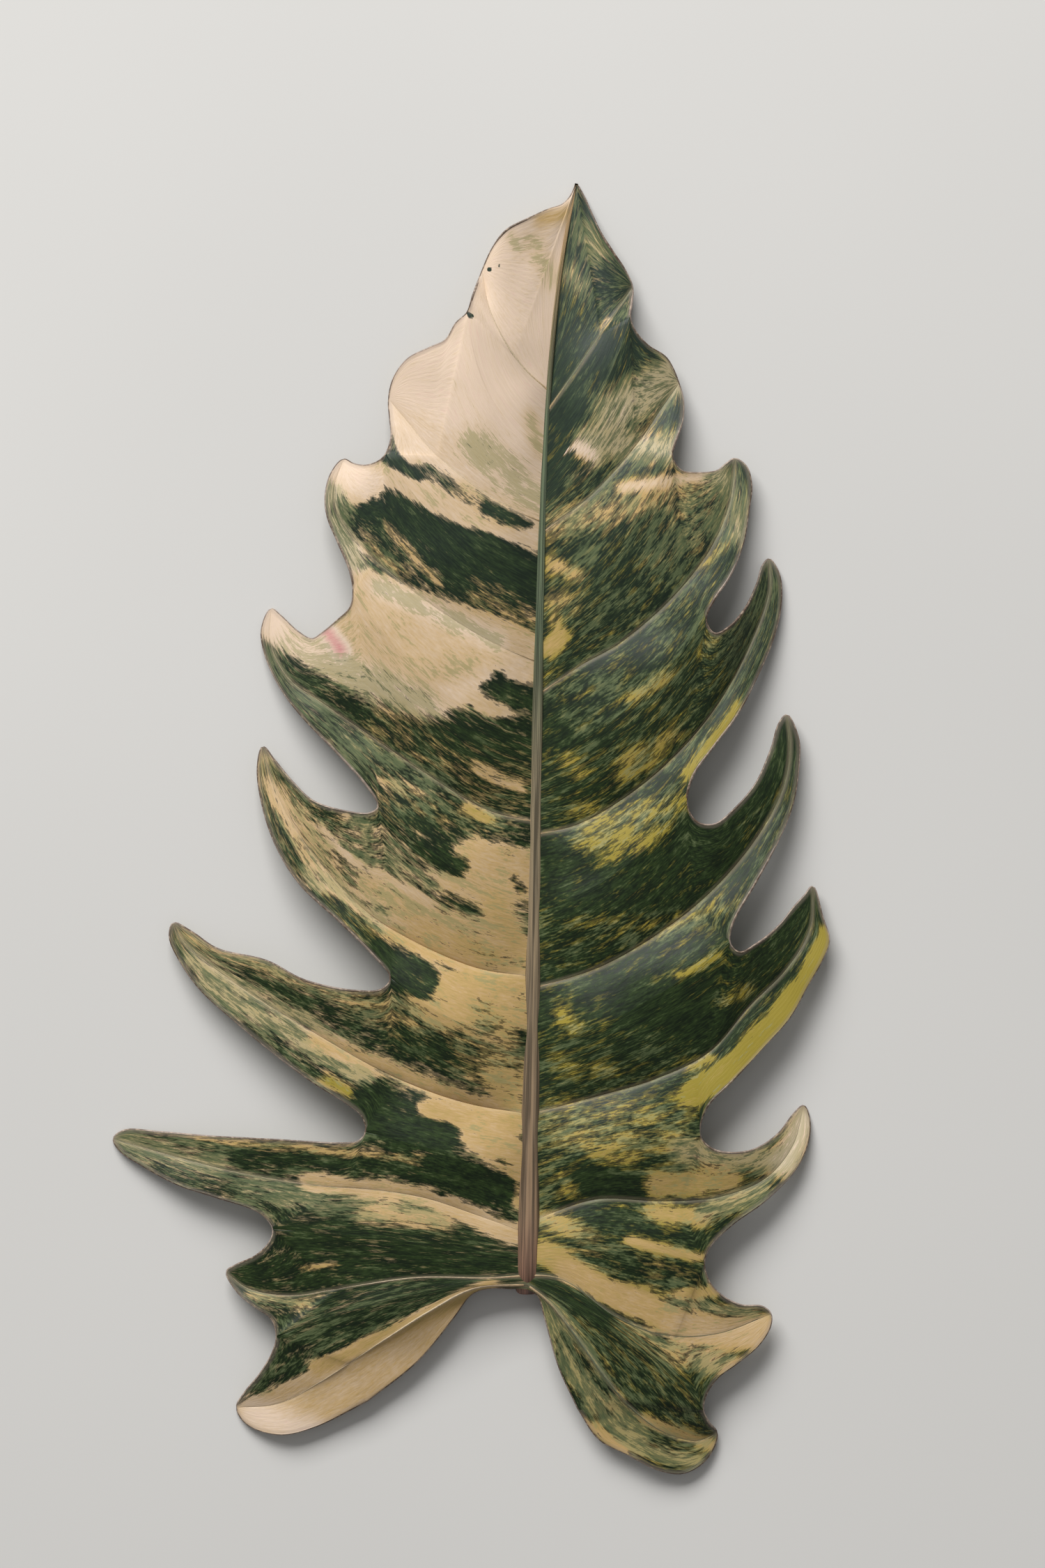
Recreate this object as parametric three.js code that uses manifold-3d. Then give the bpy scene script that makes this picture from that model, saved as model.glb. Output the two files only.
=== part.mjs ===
// A deeply lobed variegated leaf, picked and laid face up.
// Millimetres, +Z up, +Y towards the leaf's point, origin under the middle of the leaf on the
// surface that it lies on.

import * as THREE from 'three';
import { mergeGeometries, mergeVertices } from 'three/addons/utils/BufferGeometryUtils.js';
import Module from 'manifold-3d';

// Driving dimensions.
const BLADE_THICKNESS = 0.8;
const BASE_Y = -132.4;
const APEX_Y = 185.8;
const VEIN_ARCH = 6;
const VEIN_RIDGE_DEPTH = 1.1;

// How far along the vein a notch lies, against the length of the fold that runs to it, and how much of
// the last step of the margin is left off to round each tip.
const FOOT_LIMIT = 0.62;
const FOOT_SHARE = 0.88;
const TIP_ROUND = 0.16;

// How the height of the blade eases along a vein, along a fold and across from one to the other.
const VEIN_ARCH_SKEW = 0.9;
const VEIN_ROOT_FALL = 1.5;
const SWELL_POWER = 0.9;
const FOLD_BULGE = 0.6 * Math.PI;
const FOLD_BULGE_SKEW = 0.75;
const FINGER_CHANNEL = 0.8;
const FINGER_LEVEL_AT = 0.8;

// The midrib leans to the right and hooks further that way near the point.
const MIDRIB_BASE_X = 16.6;
const MIDRIB_LEAN = 5.6;
const MIDRIB_HOOK = 8.6;
const MIDRIB_HOOK_POWER = 8;
const MIDRIB_HALF_WIDTH = { base: 3, apex: 0.4 };
const KEEL_DEPTH = { base: 4.6, apex: 0.3 };
const MIDRIB_PROUD = { base: 0.5, apex: 0.2 };
const MIDRIB_TAPER_POWER = 1.1;

// Height of the blade's underside along the midrib.
const RIB_LOW = 1.6;
const RIB_LOW_POWER = 16;
const RIB_RISE_AT_STALK = 5.4;
const RIB_RISE_POWER = 4;
const RIB_RISE_NEAR_APEX = 2.4;
const APEX_RISE_START = 0.45;

// The stump of the stalk turns down under the base of the blade and is cut level.
const STALK_CUT_Y = -131;
const STALK_KNEE = { y: -129.2, z: 4.2 };
const STALK_STRAIGHT = 1.8;

// Mesh fineness.
const PANEL_COLUMNS = 4;
const BODY_ROWS = 4;
const FINGER_ROWS = 8;
const MIDRIB_SIDES = 10;
const MIDRIB_STATIONS = 26;
const MARGIN_SAMPLES = 40;
const COLUMN_CROWDING = 1.8;
const ROUNDING = 1e4;

// Each lobe, from the stalk to the point. `root` and `gap` are places along the midrib: where the
// lobe's vein leaves it, and the middle of the panel above that vein. `lower` and `upper` are the
// margin from the notch below to the tip, and on to the notch above. `lift` is the tip's height and
// `crest` the height of the notch above it.
const LEFT_START = {
  edge: [[5.2, -132.2], [0.6, -133.8], [-4.8, -140.8], [-14.8, -153]],
  point: [-29.4, -164.8],
  crest: 4,
};
const LEFT_LOBES = [
  {
    root: -131.2, gap: -130, lift: 0, crest: 7,
    vein: [[1.8, -131.8], [-11.4, -138.4], [-24.8, -147], [-44.8, -160.4], [-55.4, -166]],
    lower: [[-44.8, -172.4], [-54.8, -174.6], [-64.2, -172]],
    tip: [-67.2, -167.4],
    upper: [[-64.8, -162.8], [-60.2, -157], [-56.4, -150.4]],
    notch: [-55.4, -146],
  },
  {
    root: -128.6, gap: -123, lift: 3, crest: 8,
    vein: [[5.2, -129], [-14.8, -128.8], [-34.8, -131.6], [-51.4, -134.4], [-64.2, -132.4]],
    lower: [[-56.8, -141], [-62.4, -137], [-66.8, -133.4]],
    tip: [-70, -128],
    upper: [[-67.4, -126], [-61.4, -123], [-57.4, -119]],
    notch: [-56.4, -115],
  },
  {
    root: -116.4, gap: -99, lift: 0, crest: 10,
    vein: [[1.8, -111], [-11.4, -106.4], [-24.8, -104], [-46.8, -102.2], [-66.8, -99], [-84.8, -94.8]],
    lower: [[-60.2, -110.4], [-73.4, -105.8], [-84.2, -102.4], [-94.8, -97], [-101, -93]],
    tip: [-102.8, -89.8],
    upper: [[-99.6, -87.4], [-89.4, -87.8], [-74.8, -88.8], [-54.8, -89.6], [-36.8, -90.4], [-31.8, -89.8]],
    notch: [-29.6, -87],
  },
  {
    root: -82.4, gap: -62, lift: 2.5, crest: 12,
    vein: [[-0.8, -79], [-20.8, -71.8], [-44.2, -59], [-68.8, -43.8], [-82.2, -33]],
    lower: [
      [-30.6, -82.6], [-34.8, -79], [-44.8, -72.8], [-56.2, -64.4],
      [-66.8, -55.8], [-77.4, -46.4], [-83.8, -37.6], [-86.4, -31.4],
    ],
    tip: [-85.4, -27.6],
    upper: [[-80.2, -30], [-72.8, -34.8], [-58.2, -38.2], [-47.4, -43.6], [-32.8, -46.6], [-25, -46.2]],
    notch: [-22.4, -42.8],
  },
  {
    root: -42.8, gap: -20, lift: 3, crest: 11,
    vein: [[2.6, -40.4], [-17.4, -31.8], [-30.8, -23], [-48.8, -2.4], [-56.2, 11.6]],
    lower: [[-27.4, -36.4], [-36.8, -27], [-48.8, -15.8], [-55.8, -4.4], [-59.8, 7.6], [-61, 17.6]],
    tip: [-59.6, 23.2],
    upper: [[-56.4, 19.6], [-50.8, 13], [-44.8, 7.6], [-34.8, 4.6], [-28.4, 4.2]],
    notch: [-26, 6.2],
  },
  {
    root: 1.6, gap: 25, lift: 0, crest: 10,
    vein: [[5.2, 5], [-14.8, 17], [-27.4, 25.6], [-41.4, 35.2], [-52.4, 43.2], [-57.6, 53.6]],
    lower: [[-29.8, 12.6], [-37.4, 21], [-48.2, 32.2], [-54.2, 40], [-58.8, 49.6], [-60, 57]],
    tip: [-57.4, 63],
    upper: [[-54.8, 61.2], [-49.8, 56.6], [-45.4, 54.2], [-42.2, 56], [-38.2, 59.2], [-34.2, 63]],
    notch: [-33.2, 67.6],
  },
  {
    root: 47.6, gap: 68, lift: 3, crest: 9,
    vein: [[5.8, 53.6], [-7.4, 61.6], [-20.2, 71], [-31.8, 81.6], [-38, 90.6], [-38.8, 98.6]],
    lower: [[-34.2, 73.6], [-37.8, 82.2], [-40.8, 89.6], [-41.4, 95.6], [-39.8, 102]],
    tip: [-36.4, 106],
    upper: [[-33.4, 104.6], [-29.8, 104], [-26.2, 105]],
    notch: [-24, 107],
  },
  {
    root: 88, gap: 107, lift: 4, crest: 8,
    vein: [[12.6, 91.4], [1.2, 98.2], [-10.8, 108.2], [-17.8, 116.6]],
    lower: [[-22.4, 112], [-22.8, 117.6]],
    tip: [-23.2, 123.2],
    upper: [[-21.8, 129.2], [-17.8, 134.6], [-11.4, 137.8], [-6.8, 140], [-3.8, 144.8]],
    notch: [-0.6, 147.8],
  },
  {
    root: 125.6, gap: 130, lift: 4, foot: 0.34,
    vein: [[15.8, 131.6], [9.2, 141], [5.6, 149.6]],
    lower: [[1.2, 153.2]],
    tip: [3.6, 160],
    upper: [[6.8, 166.8], [10.6, 171.6], [17.2, 175.2], [22.8, 178], [26.8, 179.6], [29.2, 182.2]],
  },
];

const RIGHT_START = {
  edge: [[19.8, -134.4], [21.8, -141], [25.8, -155]],
  point: [31.2, -167],
  crest: 4,
};
const RIGHT_LOBES = [
  {
    root: -131.2, gap: -130, lift: 1, crest: 7,
    vein: [[22.6, -135.8], [29.2, -143.8], [39.2, -157.8], [45.8, -165.8], [55.2, -173.4], [65.2, -176.6]],
    lower: [[37.2, -175.8], [45.8, -180.4], [54.6, -184.8], [61.2, -185.8], [66.8, -183.2], [70.2, -178.8]],
    tip: [71.2, -174.6],
    upper: [[68.8, -171]],
    notch: [67, -167],
  },
  {
    root: -128.4, gap: -121, lift: 4, crest: 9,
    vein: [[24.6, -128.8], [29.8, -131], [41.8, -139.8], [55.2, -145.2], [71.2, -145.2]],
    lower: [[68, -162.4], [71.2, -157.8], [77.2, -153.4], [83.2, -148.4], [86.4, -143.4]],
    tip: [86.6, -140],
    upper: [[84.2, -137.8], [78.2, -137.2], [72.6, -134.4], [68.6, -130]],
    notch: [67.2, -124.8],
  },
  {
    root: -113.4, gap: -98, lift: 0, crest: 11,
    vein: [[25.2, -110], [36.6, -106.4], [55.2, -107], [71.2, -106], [85.2, -100.8], [93.2, -91.4]],
    lower: [[68.6, -120.4], [75.2, -113.8], [85.2, -106.8], [94.6, -97], [97.8, -88.8], [97.8, -83.4]],
    tip: [96.4, -80.4],
    upper: [[93.8, -82.4], [88.6, -88.4], [81.8, -92.4], [75.2, -93.2], [69.4, -91.9]],
    notch: [66, -88.4],
  },
  {
    root: -82.4, gap: -64, lift: 3, crest: 12,
    vein: [[35.2, -77.4], [53.2, -72], [68.6, -64.4], [79.8, -51.8], [91.2, -40.4], [97.8, -29.4]],
    lower: [
      [66.2, -84], [68.4, -79.2], [75.2, -72.4], [84.6, -62.4], [91.8, -54.4],
      [97.2, -45], [101.4, -37.8], [103.4, -32.4], [101.6, -26],
    ],
    tip: [98.8, -17],
    upper: [[96.6, -19.4], [93.2, -23], [88.8, -28.2], [82.2, -33.2], [77.2, -35.6]],
    notch: [74.4, -32.8],
  },
  {
    root: -46.4, gap: -24, lift: 2, crest: 11,
    vein: [[37.8, -39.8], [57.8, -27.8], [71.2, -16.4], [83.2, -1.8], [90.2, 11.6], [92.2, 23.6]],
    lower: [[75.2, -27.4], [81.8, -15.8], [87.8, -5], [92.6, 6.2], [94.6, 17.6], [94.6, 25.6]],
    tip: [91.4, 32.4],
    upper: [[89.2, 30], [86.8, 22.6], [82.2, 12.6], [75.8, 5.2], [70.2, 1], [65.2, 1.6]],
    notch: [62.2, 6.6],
  },
  {
    root: -2, gap: 18, lift: 0, crest: 11,
    vein: [[31.2, 1], [47.8, 11], [61.2, 23], [71.8, 36.2], [81.2, 53.6], [86.2, 67.6]],
    lower: [[63.8, 14.6], [69.8, 23.2], [76.6, 32.2], [82.6, 43.6], [87.2, 54.2], [89.6, 64.2], [89.2, 73]],
    tip: [86.4, 77.4],
    upper: [[84.6, 75.6], [82.8, 70.2], [79.2, 63], [74.2, 57.4], [70.2, 55.6]],
    notch: [67.6, 59.6],
  },
  {
    root: 38.2, gap: 61, lift: 3, crest: 10,
    vein: [[32.6, 47], [43.2, 53], [57.8, 65.6], [69.2, 80.2], [74.8, 93.6]],
    lower: [[70.2, 65.6], [74.6, 72.2], [78.4, 81.6], [80.2, 91.6], [81, 98.6], [79.6, 104]],
    tip: [76.4, 106.2],
    upper: [[74, 104.8], [71.2, 102.6], [65.2, 101.8], [60.6, 102.4]],
    notch: [58, 106.4],
  },
  {
    root: 84.6, gap: 102, lift: 3, crest: 9,
    vein: [[35.8, 96.2], [49.2, 111.6], [55.2, 120.6]],
    lower: [[58.8, 110], [61, 116.6], [61.4, 122.2]],
    tip: [60.2, 127.8],
    upper: [[56.6, 135], [51.2, 138.4], [47.6, 142.2]],
    notch: [46, 146.4],
  },
  {
    root: 119.6, gap: 148, lift: 3,
    vein: [[30.2, 130.6], [38.2, 142.6]],
    lower: [[46.6, 151.2]],
    tip: [46.8, 155.6],
    upper: [[44.8, 160.2], [41.2, 165.6], [37.8, 171], [34.8, 177.6], [33, 181.8]],
  },
];

const { lerp, smoothstep } = THREE.MathUtils;

function flat([x, y]) {
  return new THREE.Vector3(x, y, 0);
}

// Place along the midrib as a share of its length, 0 at the stalk and 1 at the point.
function shareAt(y) {
  return (y - BASE_Y) / (APEX_Y - BASE_Y);
}

function taper(size, share) {
  return lerp(size.apex, size.base, (1 - share) ** MIDRIB_TAPER_POWER);
}

function midribPoint(y) {
  const share = shareAt(y);
  const hook = MIDRIB_HOOK * share ** MIDRIB_HOOK_POWER;
  return new THREE.Vector3(MIDRIB_BASE_X + MIDRIB_LEAN * share + hook, y, 0);
}

function ribHeight(y) {
  const share = shareAt(y);
  const nearApex = Math.max(0, (share - APEX_RISE_START) / (1 - APEX_RISE_START));
  const riseAtStalk = RIB_RISE_AT_STALK * (1 - share) ** RIB_RISE_POWER;
  const riseNearApex = RIB_RISE_NEAR_APEX * Math.sin(Math.PI * nearApex);
  return RIB_LOW * (1 - share ** RIB_LOW_POWER) + riseAtStalk + riseNearApex;
}

// The whole margin of one side as one smooth curve, with the place of each tip and notch on it.
function marginOf(start, lobes) {
  const points = [start.point];
  const tips = [];
  const notches = [0];
  for (const lobe of lobes) {
    points.push(...lobe.lower, lobe.tip);
    tips.push(points.length - 1);
    points.push(...lobe.upper, lobe.notch ?? midribPoint(APEX_Y).toArray());
    notches.push(points.length - 1);
  }
  return { curve: new THREE.CatmullRomCurve3(points.map(flat)), last: points.length - 1, tips, notches };
}

// A stretch of the margin, from one of its points to another, evenly paced along its length.
function marginStretch(margin, from, to) {
  const samples = [];
  for (let k = 0; k <= MARGIN_SAMPLES; k++) {
    samples.push(margin.curve.getPoint(lerp(from, to, k / MARGIN_SAMPLES) / margin.last));
  }
  return new THREE.CatmullRomCurve3(samples);
}

// A panel lies between a vein and the edge beside it. `along` is 0 at the midrib and 1 at the tip,
// and `across` is 0 on the vein and 1 on the edge, which runs up the fold to the notch and then round
// the margin to the tip.
function onMargin(panel, along) {
  return (along - panel.foot) / (1 - panel.foot);
}

function edgePlan(panel, along) {
  if (along > panel.foot) {
    return panel.margin.getPointAt(onMargin(panel, along));
  }
  return panel.fold.plan(along / panel.foot);
}

function panelPlan(panel, across, along) {
  return panel.vein.getPointAt(along).lerp(edgePlan(panel, along), across);
}

// Veins lie in valleys that arch up from the midrib and droop to the tips, and the blade swells up
// between them to the folds that run out to the notches.
function veinHeight(panel, along) {
  const arch = VEIN_ARCH * Math.sin(Math.PI * along ** VEIN_ARCH_SKEW);
  return ribHeight(panel.root) * (1 - along) ** VEIN_ROOT_FALL + arch + panel.lift * along ** 2;
}

function edgeHeight(panel, along) {
  if (along > panel.foot) {
    const share = onMargin(panel, along);
    const aboveVein = panel.fold.height(1) - veinHeight(panel, panel.foot);
    const channel = FINGER_CHANNEL * Math.sin(Math.PI * share);
    return veinHeight(panel, along) + aboveVein * (1 - smoothstep(share, 0, FINGER_LEVEL_AT)) + channel;
  }
  return panel.fold.height(along / panel.foot);
}

function panelHeight(panel, across, along) {
  const swell = Math.sin((Math.PI / 2) * across) ** SWELL_POWER;
  return lerp(veinHeight(panel, along), edgeHeight(panel, along), swell);
}

// The folds between the veins. The first is the blade's own edge beside the stalk, and the last runs
// up the midrib to the point.
function foldBesideStalk(start) {
  const points = [midribPoint(BASE_Y), ...start.edge.map(flat), flat(start.point)];
  const edge = new THREE.CatmullRomCurve3(points);
  return {
    plan: (along) => edge.getPointAt(along),
    height: (along) => lerp(ribHeight(BASE_Y), start.crest, along),
  };
}

function foldToNotch(below, above, notch, crest) {
  const root = midribPoint(below.gap);
  const heading = below.vein.getTangentAt(0).add(above.vein.getTangentAt(0)).normalize();
  const bend = root.clone().addScaledVector(heading, root.distanceTo(notch) / 2);
  const line = new THREE.QuadraticBezierCurve3(root, bend, notch);
  const bulge = (along) => Math.sin(FOLD_BULGE * along ** FOLD_BULGE_SKEW) / Math.sin(FOLD_BULGE);
  return {
    plan: (along) => line.getPointAt(along),
    height: (along) => ribHeight(below.gap) * (1 - along) + crest * bulge(along),
  };
}

function foldUpMidrib(gap) {
  const yAt = (along) => lerp(gap, APEX_Y, along);
  return {
    plan: (along) => midribPoint(yAt(along)),
    height: (along) => ribHeight(yAt(along)),
  };
}

// Two panels for each lobe, one below its vein and one above.
function panelsOf(start, lobes) {
  const margin = marginOf(start, lobes);
  const panels = [];
  lobes.forEach((lobe, k) => {
    const vein = new THREE.CatmullRomCurve3([
      midribPoint(lobe.root),
      ...lobe.vein.map(flat),
      flat(lobe.tip),
    ]);
    const gaps = [k ? lobes[k - 1].gap : BASE_Y, lobe.gap];
    const stretches = gaps.map((gap, half) => {
      const round = half ? TIP_ROUND : -TIP_ROUND;
      return marginStretch(margin, margin.notches[k + half], margin.tips[k] + round);
    });
    const notches = stretches.map((stretch) => stretch.getPointAt(0));
    const foldLengths = gaps.map((gap, half) => midribPoint(gap).distanceTo(notches[half]));
    const meanLength = (foldLengths[0] + foldLengths[1]) / 2;
    const foot = lobe.foot ?? Math.min(FOOT_LIMIT, (FOOT_SHARE * meanLength) / vein.getLength());
    const { root, lift } = lobe;
    gaps.forEach((gap, half) => {
      panels.push({ upper: half === 1, root, gap, lift, vein, margin: stretches[half], foot });
    });
  });
  panels[0].fold = foldBesideStalk(start);
  panels.at(-1).fold = foldUpMidrib(lobes.at(-1).gap);
  for (let k = 1; k < lobes.length; k++) {
    const below = panels[2 * k - 1];
    const above = panels[2 * k];
    below.fold = foldToNotch(below, above, flat(lobes[k - 1].notch), lobes[k - 1].crest);
    above.fold = below.fold;
  }
  return panels;
}

function rounded(value) {
  return Math.round(value * ROUNDING) / ROUNDING;
}

// Columns crowd to the vein. Rows are even up to the notch, and crowd to the notch and to the tip
// after it.
function columnShare(step) {
  return step ** COLUMN_CROWDING;
}

function rowShare(panel, step) {
  const row = step * (BODY_ROWS + FINGER_ROWS);
  if (row <= BODY_ROWS) {
    return (panel.foot * row) / BODY_ROWS;
  }
  const finger = (row - BODY_ROWS) / FINGER_ROWS;
  return lerp(panel.foot, 1, (1 - Math.cos(Math.PI * finger)) / 2);
}

// One panel as a thin slab: a box whose width runs across from vein to edge and whose depth runs
// along from midrib to tip. Only the faces on the outside of the half blade are kept.
function panelSlab(panel, isRight, isOuterFold) {
  const rows = BODY_ROWS + FINGER_ROWS;
  const box = new THREE.BoxGeometry(1, 1, 1, PANEL_COLUMNS, rows, 1);
  const turned = isRight === panel.upper;
  const position = box.getAttribute('position');
  for (let k = 0; k < position.count; k++) {
    const across = columnShare(turned ? 0.5 - position.getX(k) : 0.5 + position.getX(k));
    const along = rowShare(panel, 0.5 + position.getY(k));
    const plan = panelPlan(panel, across, along);
    const ridge = across < 1 / ROUNDING ? VEIN_RIDGE_DEPTH * (1 - along) : 0;
    const layer = position.getZ(k) > 0 ? BLADE_THICKNESS : -ridge;
    const height = panelHeight(panel, across, along) + layer;
    position.setXYZ(k, rounded(plan.x), rounded(plan.y), rounded(height));
  }
  const [plusX, minusX, ...others] = box.groups;
  const edgeSide = turned ? minusX : plusX;
  const indicesPerRow = edgeSide.count / rows;
  const edgeRows = isOuterFold ? rows : FINGER_ROWS;
  const kept = [{ start: edgeSide.start, count: edgeRows * indicesPerRow }, ...others];
  const index = box.getIndex().array;
  box.setIndex(kept.flatMap((side) => Array.from(index.slice(side.start, side.start + side.count))));
  return box;
}

function halfBlade(start, lobes, isRight) {
  const panels = panelsOf(start, lobes);
  const isOuterFold = (k) => k === 0 || k === panels.length - 1;
  const slabs = panels.map((panel, k) => panelSlab(panel, isRight, isOuterFold(k)));
  return closedGeometry(mergeGeometries(slabs));
}

function closedGeometry(geometry) {
  geometry.deleteAttribute('normal');
  geometry.deleteAttribute('uv');
  return mergeVertices(geometry, 1 / ROUNDING);
}

// The midrib with the stump of the stalk: a tapered rod bent along the blade, proud of its upper
// face, with a keel below, flat where it lies on the surface.
function midribRod() {
  const sections = [
    { centre: new THREE.Vector3(MIDRIB_BASE_X, STALK_CUT_Y, 0), share: 0 },
    { centre: new THREE.Vector3(MIDRIB_BASE_X, STALK_CUT_Y, STALK_STRAIGHT), share: 0 },
    { centre: new THREE.Vector3(MIDRIB_BASE_X, STALK_KNEE.y, STALK_KNEE.z), share: 0 },
  ];
  for (let k = 1; k <= MIDRIB_STATIONS; k++) {
    const share = k / MIDRIB_STATIONS;
    const y = lerp(BASE_Y, APEX_Y, share);
    const top = ribHeight(y) + BLADE_THICKNESS + taper(MIDRIB_PROUD, share);
    const bottom = ribHeight(y) - taper(KEEL_DEPTH, share);
    sections.push({ centre: midribPoint(y).setZ((top + bottom) / 2), share });
  }
  const path = new THREE.CatmullRomCurve3(sections.map((section) => section.centre));
  const last = sections.length - 1;
  const profile = [new THREE.Vector2(0, 0)];
  sections.forEach((section, k) => profile.push(new THREE.Vector2(1, k / last)));
  profile.push(new THREE.Vector2(0, 1));
  const rod = new THREE.LatheGeometry(profile, MIDRIB_SIDES, Math.PI / MIDRIB_SIDES);
  const position = rod.getAttribute('position');
  for (let k = 0; k < position.count; k++) {
    const place = position.getY(k);
    const { share } = sections[Math.round(place * last)];
    const halfDepth = (BLADE_THICKNESS + taper(MIDRIB_PROUD, share) + taper(KEEL_DEPTH, share)) / 2;
    const tangent = path.getTangent(place);
    const sideways = new THREE.Vector3(1, 0, 0).projectOnPlane(tangent).normalize();
    const upwards = sideways.clone().cross(tangent);
    const point = path.getPoint(place);
    point.addScaledVector(sideways, position.getX(k) * taper(MIDRIB_HALF_WIDTH, share));
    point.addScaledVector(upwards, position.getZ(k) * halfDepth);
    position.setXYZ(k, rounded(point.x), rounded(point.y), rounded(Math.max(0, point.z)));
  }
  return closedGeometry(rod);
}

// The two half blades and the midrib fused into one solid.
const wasm = await Module();
wasm.setup();

function solidOf(geometry) {
  const vertProperties = new Float32Array(geometry.getAttribute('position').array);
  const triVerts = new Uint32Array(geometry.getIndex().array);
  return new wasm.Manifold(new wasm.Mesh({ numProp: 3, vertProperties, triVerts }));
}

function geometryOf(solid) {
  const mesh = solid.getMesh();
  const geometry = new THREE.BufferGeometry();
  geometry.setAttribute('position', new THREE.BufferAttribute(mesh.vertProperties, 3));
  geometry.setIndex(new THREE.BufferAttribute(mesh.triVerts, 1));
  geometry.computeVertexNormals();
  return geometry;
}

const leftHalf = solidOf(halfBlade(LEFT_START, LEFT_LOBES, false));
const rightHalf = solidOf(halfBlade(RIGHT_START, RIGHT_LOBES, true));
const leafSolid = solidOf(midribRod()).add(leftHalf).add(rightHalf);

const leafMaterial = new THREE.MeshStandardMaterial({ color: 0x3d5a34, roughness: 0.45, metalness: 0 });
const leaf = new THREE.Mesh(geometryOf(leafSolid), leafMaterial);
leaf.name = 'leaf';

const model = new THREE.Group();
model.add(leaf);

export default model;
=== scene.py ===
"""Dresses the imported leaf: a finely modelled variegated blade, its veins, midrib and margin.

Lengths in the tables are millimetres in the leaf's own frame, +Y to its point and +Z up.
"""

import math
from typing import NamedTuple

import bmesh
import bpy
import numpy as np
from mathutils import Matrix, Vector, noise


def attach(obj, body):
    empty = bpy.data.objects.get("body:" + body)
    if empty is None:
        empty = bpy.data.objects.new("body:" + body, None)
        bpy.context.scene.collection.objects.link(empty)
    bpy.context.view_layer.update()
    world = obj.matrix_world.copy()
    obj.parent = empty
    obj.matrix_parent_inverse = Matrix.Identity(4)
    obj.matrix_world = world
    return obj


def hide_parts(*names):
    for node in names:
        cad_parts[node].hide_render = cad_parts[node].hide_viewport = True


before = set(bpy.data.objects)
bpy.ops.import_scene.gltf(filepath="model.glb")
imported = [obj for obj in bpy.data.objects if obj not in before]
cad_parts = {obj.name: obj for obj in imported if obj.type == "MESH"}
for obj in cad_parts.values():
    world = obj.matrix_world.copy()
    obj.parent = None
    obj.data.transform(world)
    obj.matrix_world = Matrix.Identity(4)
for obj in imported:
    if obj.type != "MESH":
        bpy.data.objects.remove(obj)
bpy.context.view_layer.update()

bl_info = {
    "name": "Variegated Leaf",
    "version": (1, 0, 0),
    "blender": (4, 5, 0),
    "location": "View3D > Sidebar > Leaf",
    "description": "Models a lobed variegated leaf, laid face up, and lights it",
    "category": "Object",
}

MM = 0.001
NODE = "leaf"
BODY = "root"

# The leaf's form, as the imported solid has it, but for the midrib's broader, flat-topped section.
BASE_Y = -132.4
APEX_Y = 185.8
VEIN_ARCH = 6
VEIN_ARCH_SKEW = 0.9
VEIN_ROOT_FALL = 1.5
SWELL_POWER = 0.9
FOLD_BULGE = 0.6 * math.pi
FOLD_BULGE_SKEW = 0.75
FINGER_CHANNEL = 0.8
FINGER_LEVEL_AT = 0.8
FOOT_LIMIT = 0.62
FOOT_SHARE = 0.88
TIP_ROUND = 0.16
MIDRIB_BASE_X = 16.6
MIDRIB_LEAN = 5.6
MIDRIB_HOOK = 8.6
MIDRIB_HOOK_POWER = 8
MIDRIB_TAPER_POWER = 1.1
MIDRIB_HALF_WIDTH = (3.5, 0.5)
MIDRIB_WIDTH_POWER = 1.4
MIDRIB_SQUARENESS = 0.55
KEEL_DEPTH = (4.6, 0.3)
MIDRIB_PROUD = (1.8, 0.5)
RIB_LOW = 1.6
RIB_LOW_POWER = 16
RIB_RISE_AT_STALK = 5.4
RIB_RISE_POWER = 4
RIB_RISE_NEAR_APEX = 2.4
APEX_RISE_START = 0.45
STALK_CUT_Y = -131
STALK_KNEE_Y = -129.2
STALK_KNEE_Z = 4.2
STALK_STRAIGHT = 1.8
VEIN_RIDGE_DEPTH = 1.1
VEIN_END = 0.985
VEIN_TAPER_POWER = 1.4
VEIN_CLEARANCE = 0.02
RIM_FOOT_START = 0.03
LEVEL_ENOUGH = 0.05

# How finely each piece is divided.
COLUMNS = 24
BODY_ROWS = 26
FINGER_ROWS = 46
ROW_CROWDING = 0.5
SMOOTHING_PASSES = 60
NOTCH_SMOOTHING_PASSES = 180
NOTCH_SMOOTHING_REACH = 9
ON_VEIN, NEAR_NOTCH = 1, 2
LINE_STEPS = 60
MIDRIB_RINGS = 26
MIDRIB_STATIONS = 180
MIDRIB_SIDES = 36
VEIN_STATIONS = 70
VEIN_SIDES = 10
RIM_SIDES = 8
RIM_FOOT_STATIONS = 40
SHARP_ANGLE = 1
WELD = 1e-6
TINY = 1e-9

# The grain's map runs along the veins in tenths of a metre, and each lobe has its own stretch of it.
GRAIN_UNIT = 100
LOBE_SHIFT = 1.7
STREAK_ROUGHNESS = 0.6
FAR_FROM_MARGIN = 60

# The stage, in metres.
KEY_PLACE = (-0.8, 2.2, 1.65)
KEY_SIZE = (2.4, 1.4)
VIEW_CENTRE = (0.0152, 0.0126, 0.008)
VIEW_HEIGHT = 0.45
SENSOR_WIDTH = 36
FLOOR_SQUARES = 8
FLOOR_DIMMEST = 0.96
FLOOR_ROUGHNESS = 0.8


class Start(NamedTuple):
    """The blade's edge beside the stalk, from the midrib to where the first lobe begins."""

    edge: list
    point: tuple
    crest: float


class Lobe(NamedTuple):
    """One lobe: its vein's root and the gap above it on the midrib, its vein and its margin."""

    root: float
    gap: float
    lift: float
    crest: float
    vein: list
    lower: list
    tip: tuple
    upper: list
    notch: tuple = None
    foot: float = None


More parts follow.
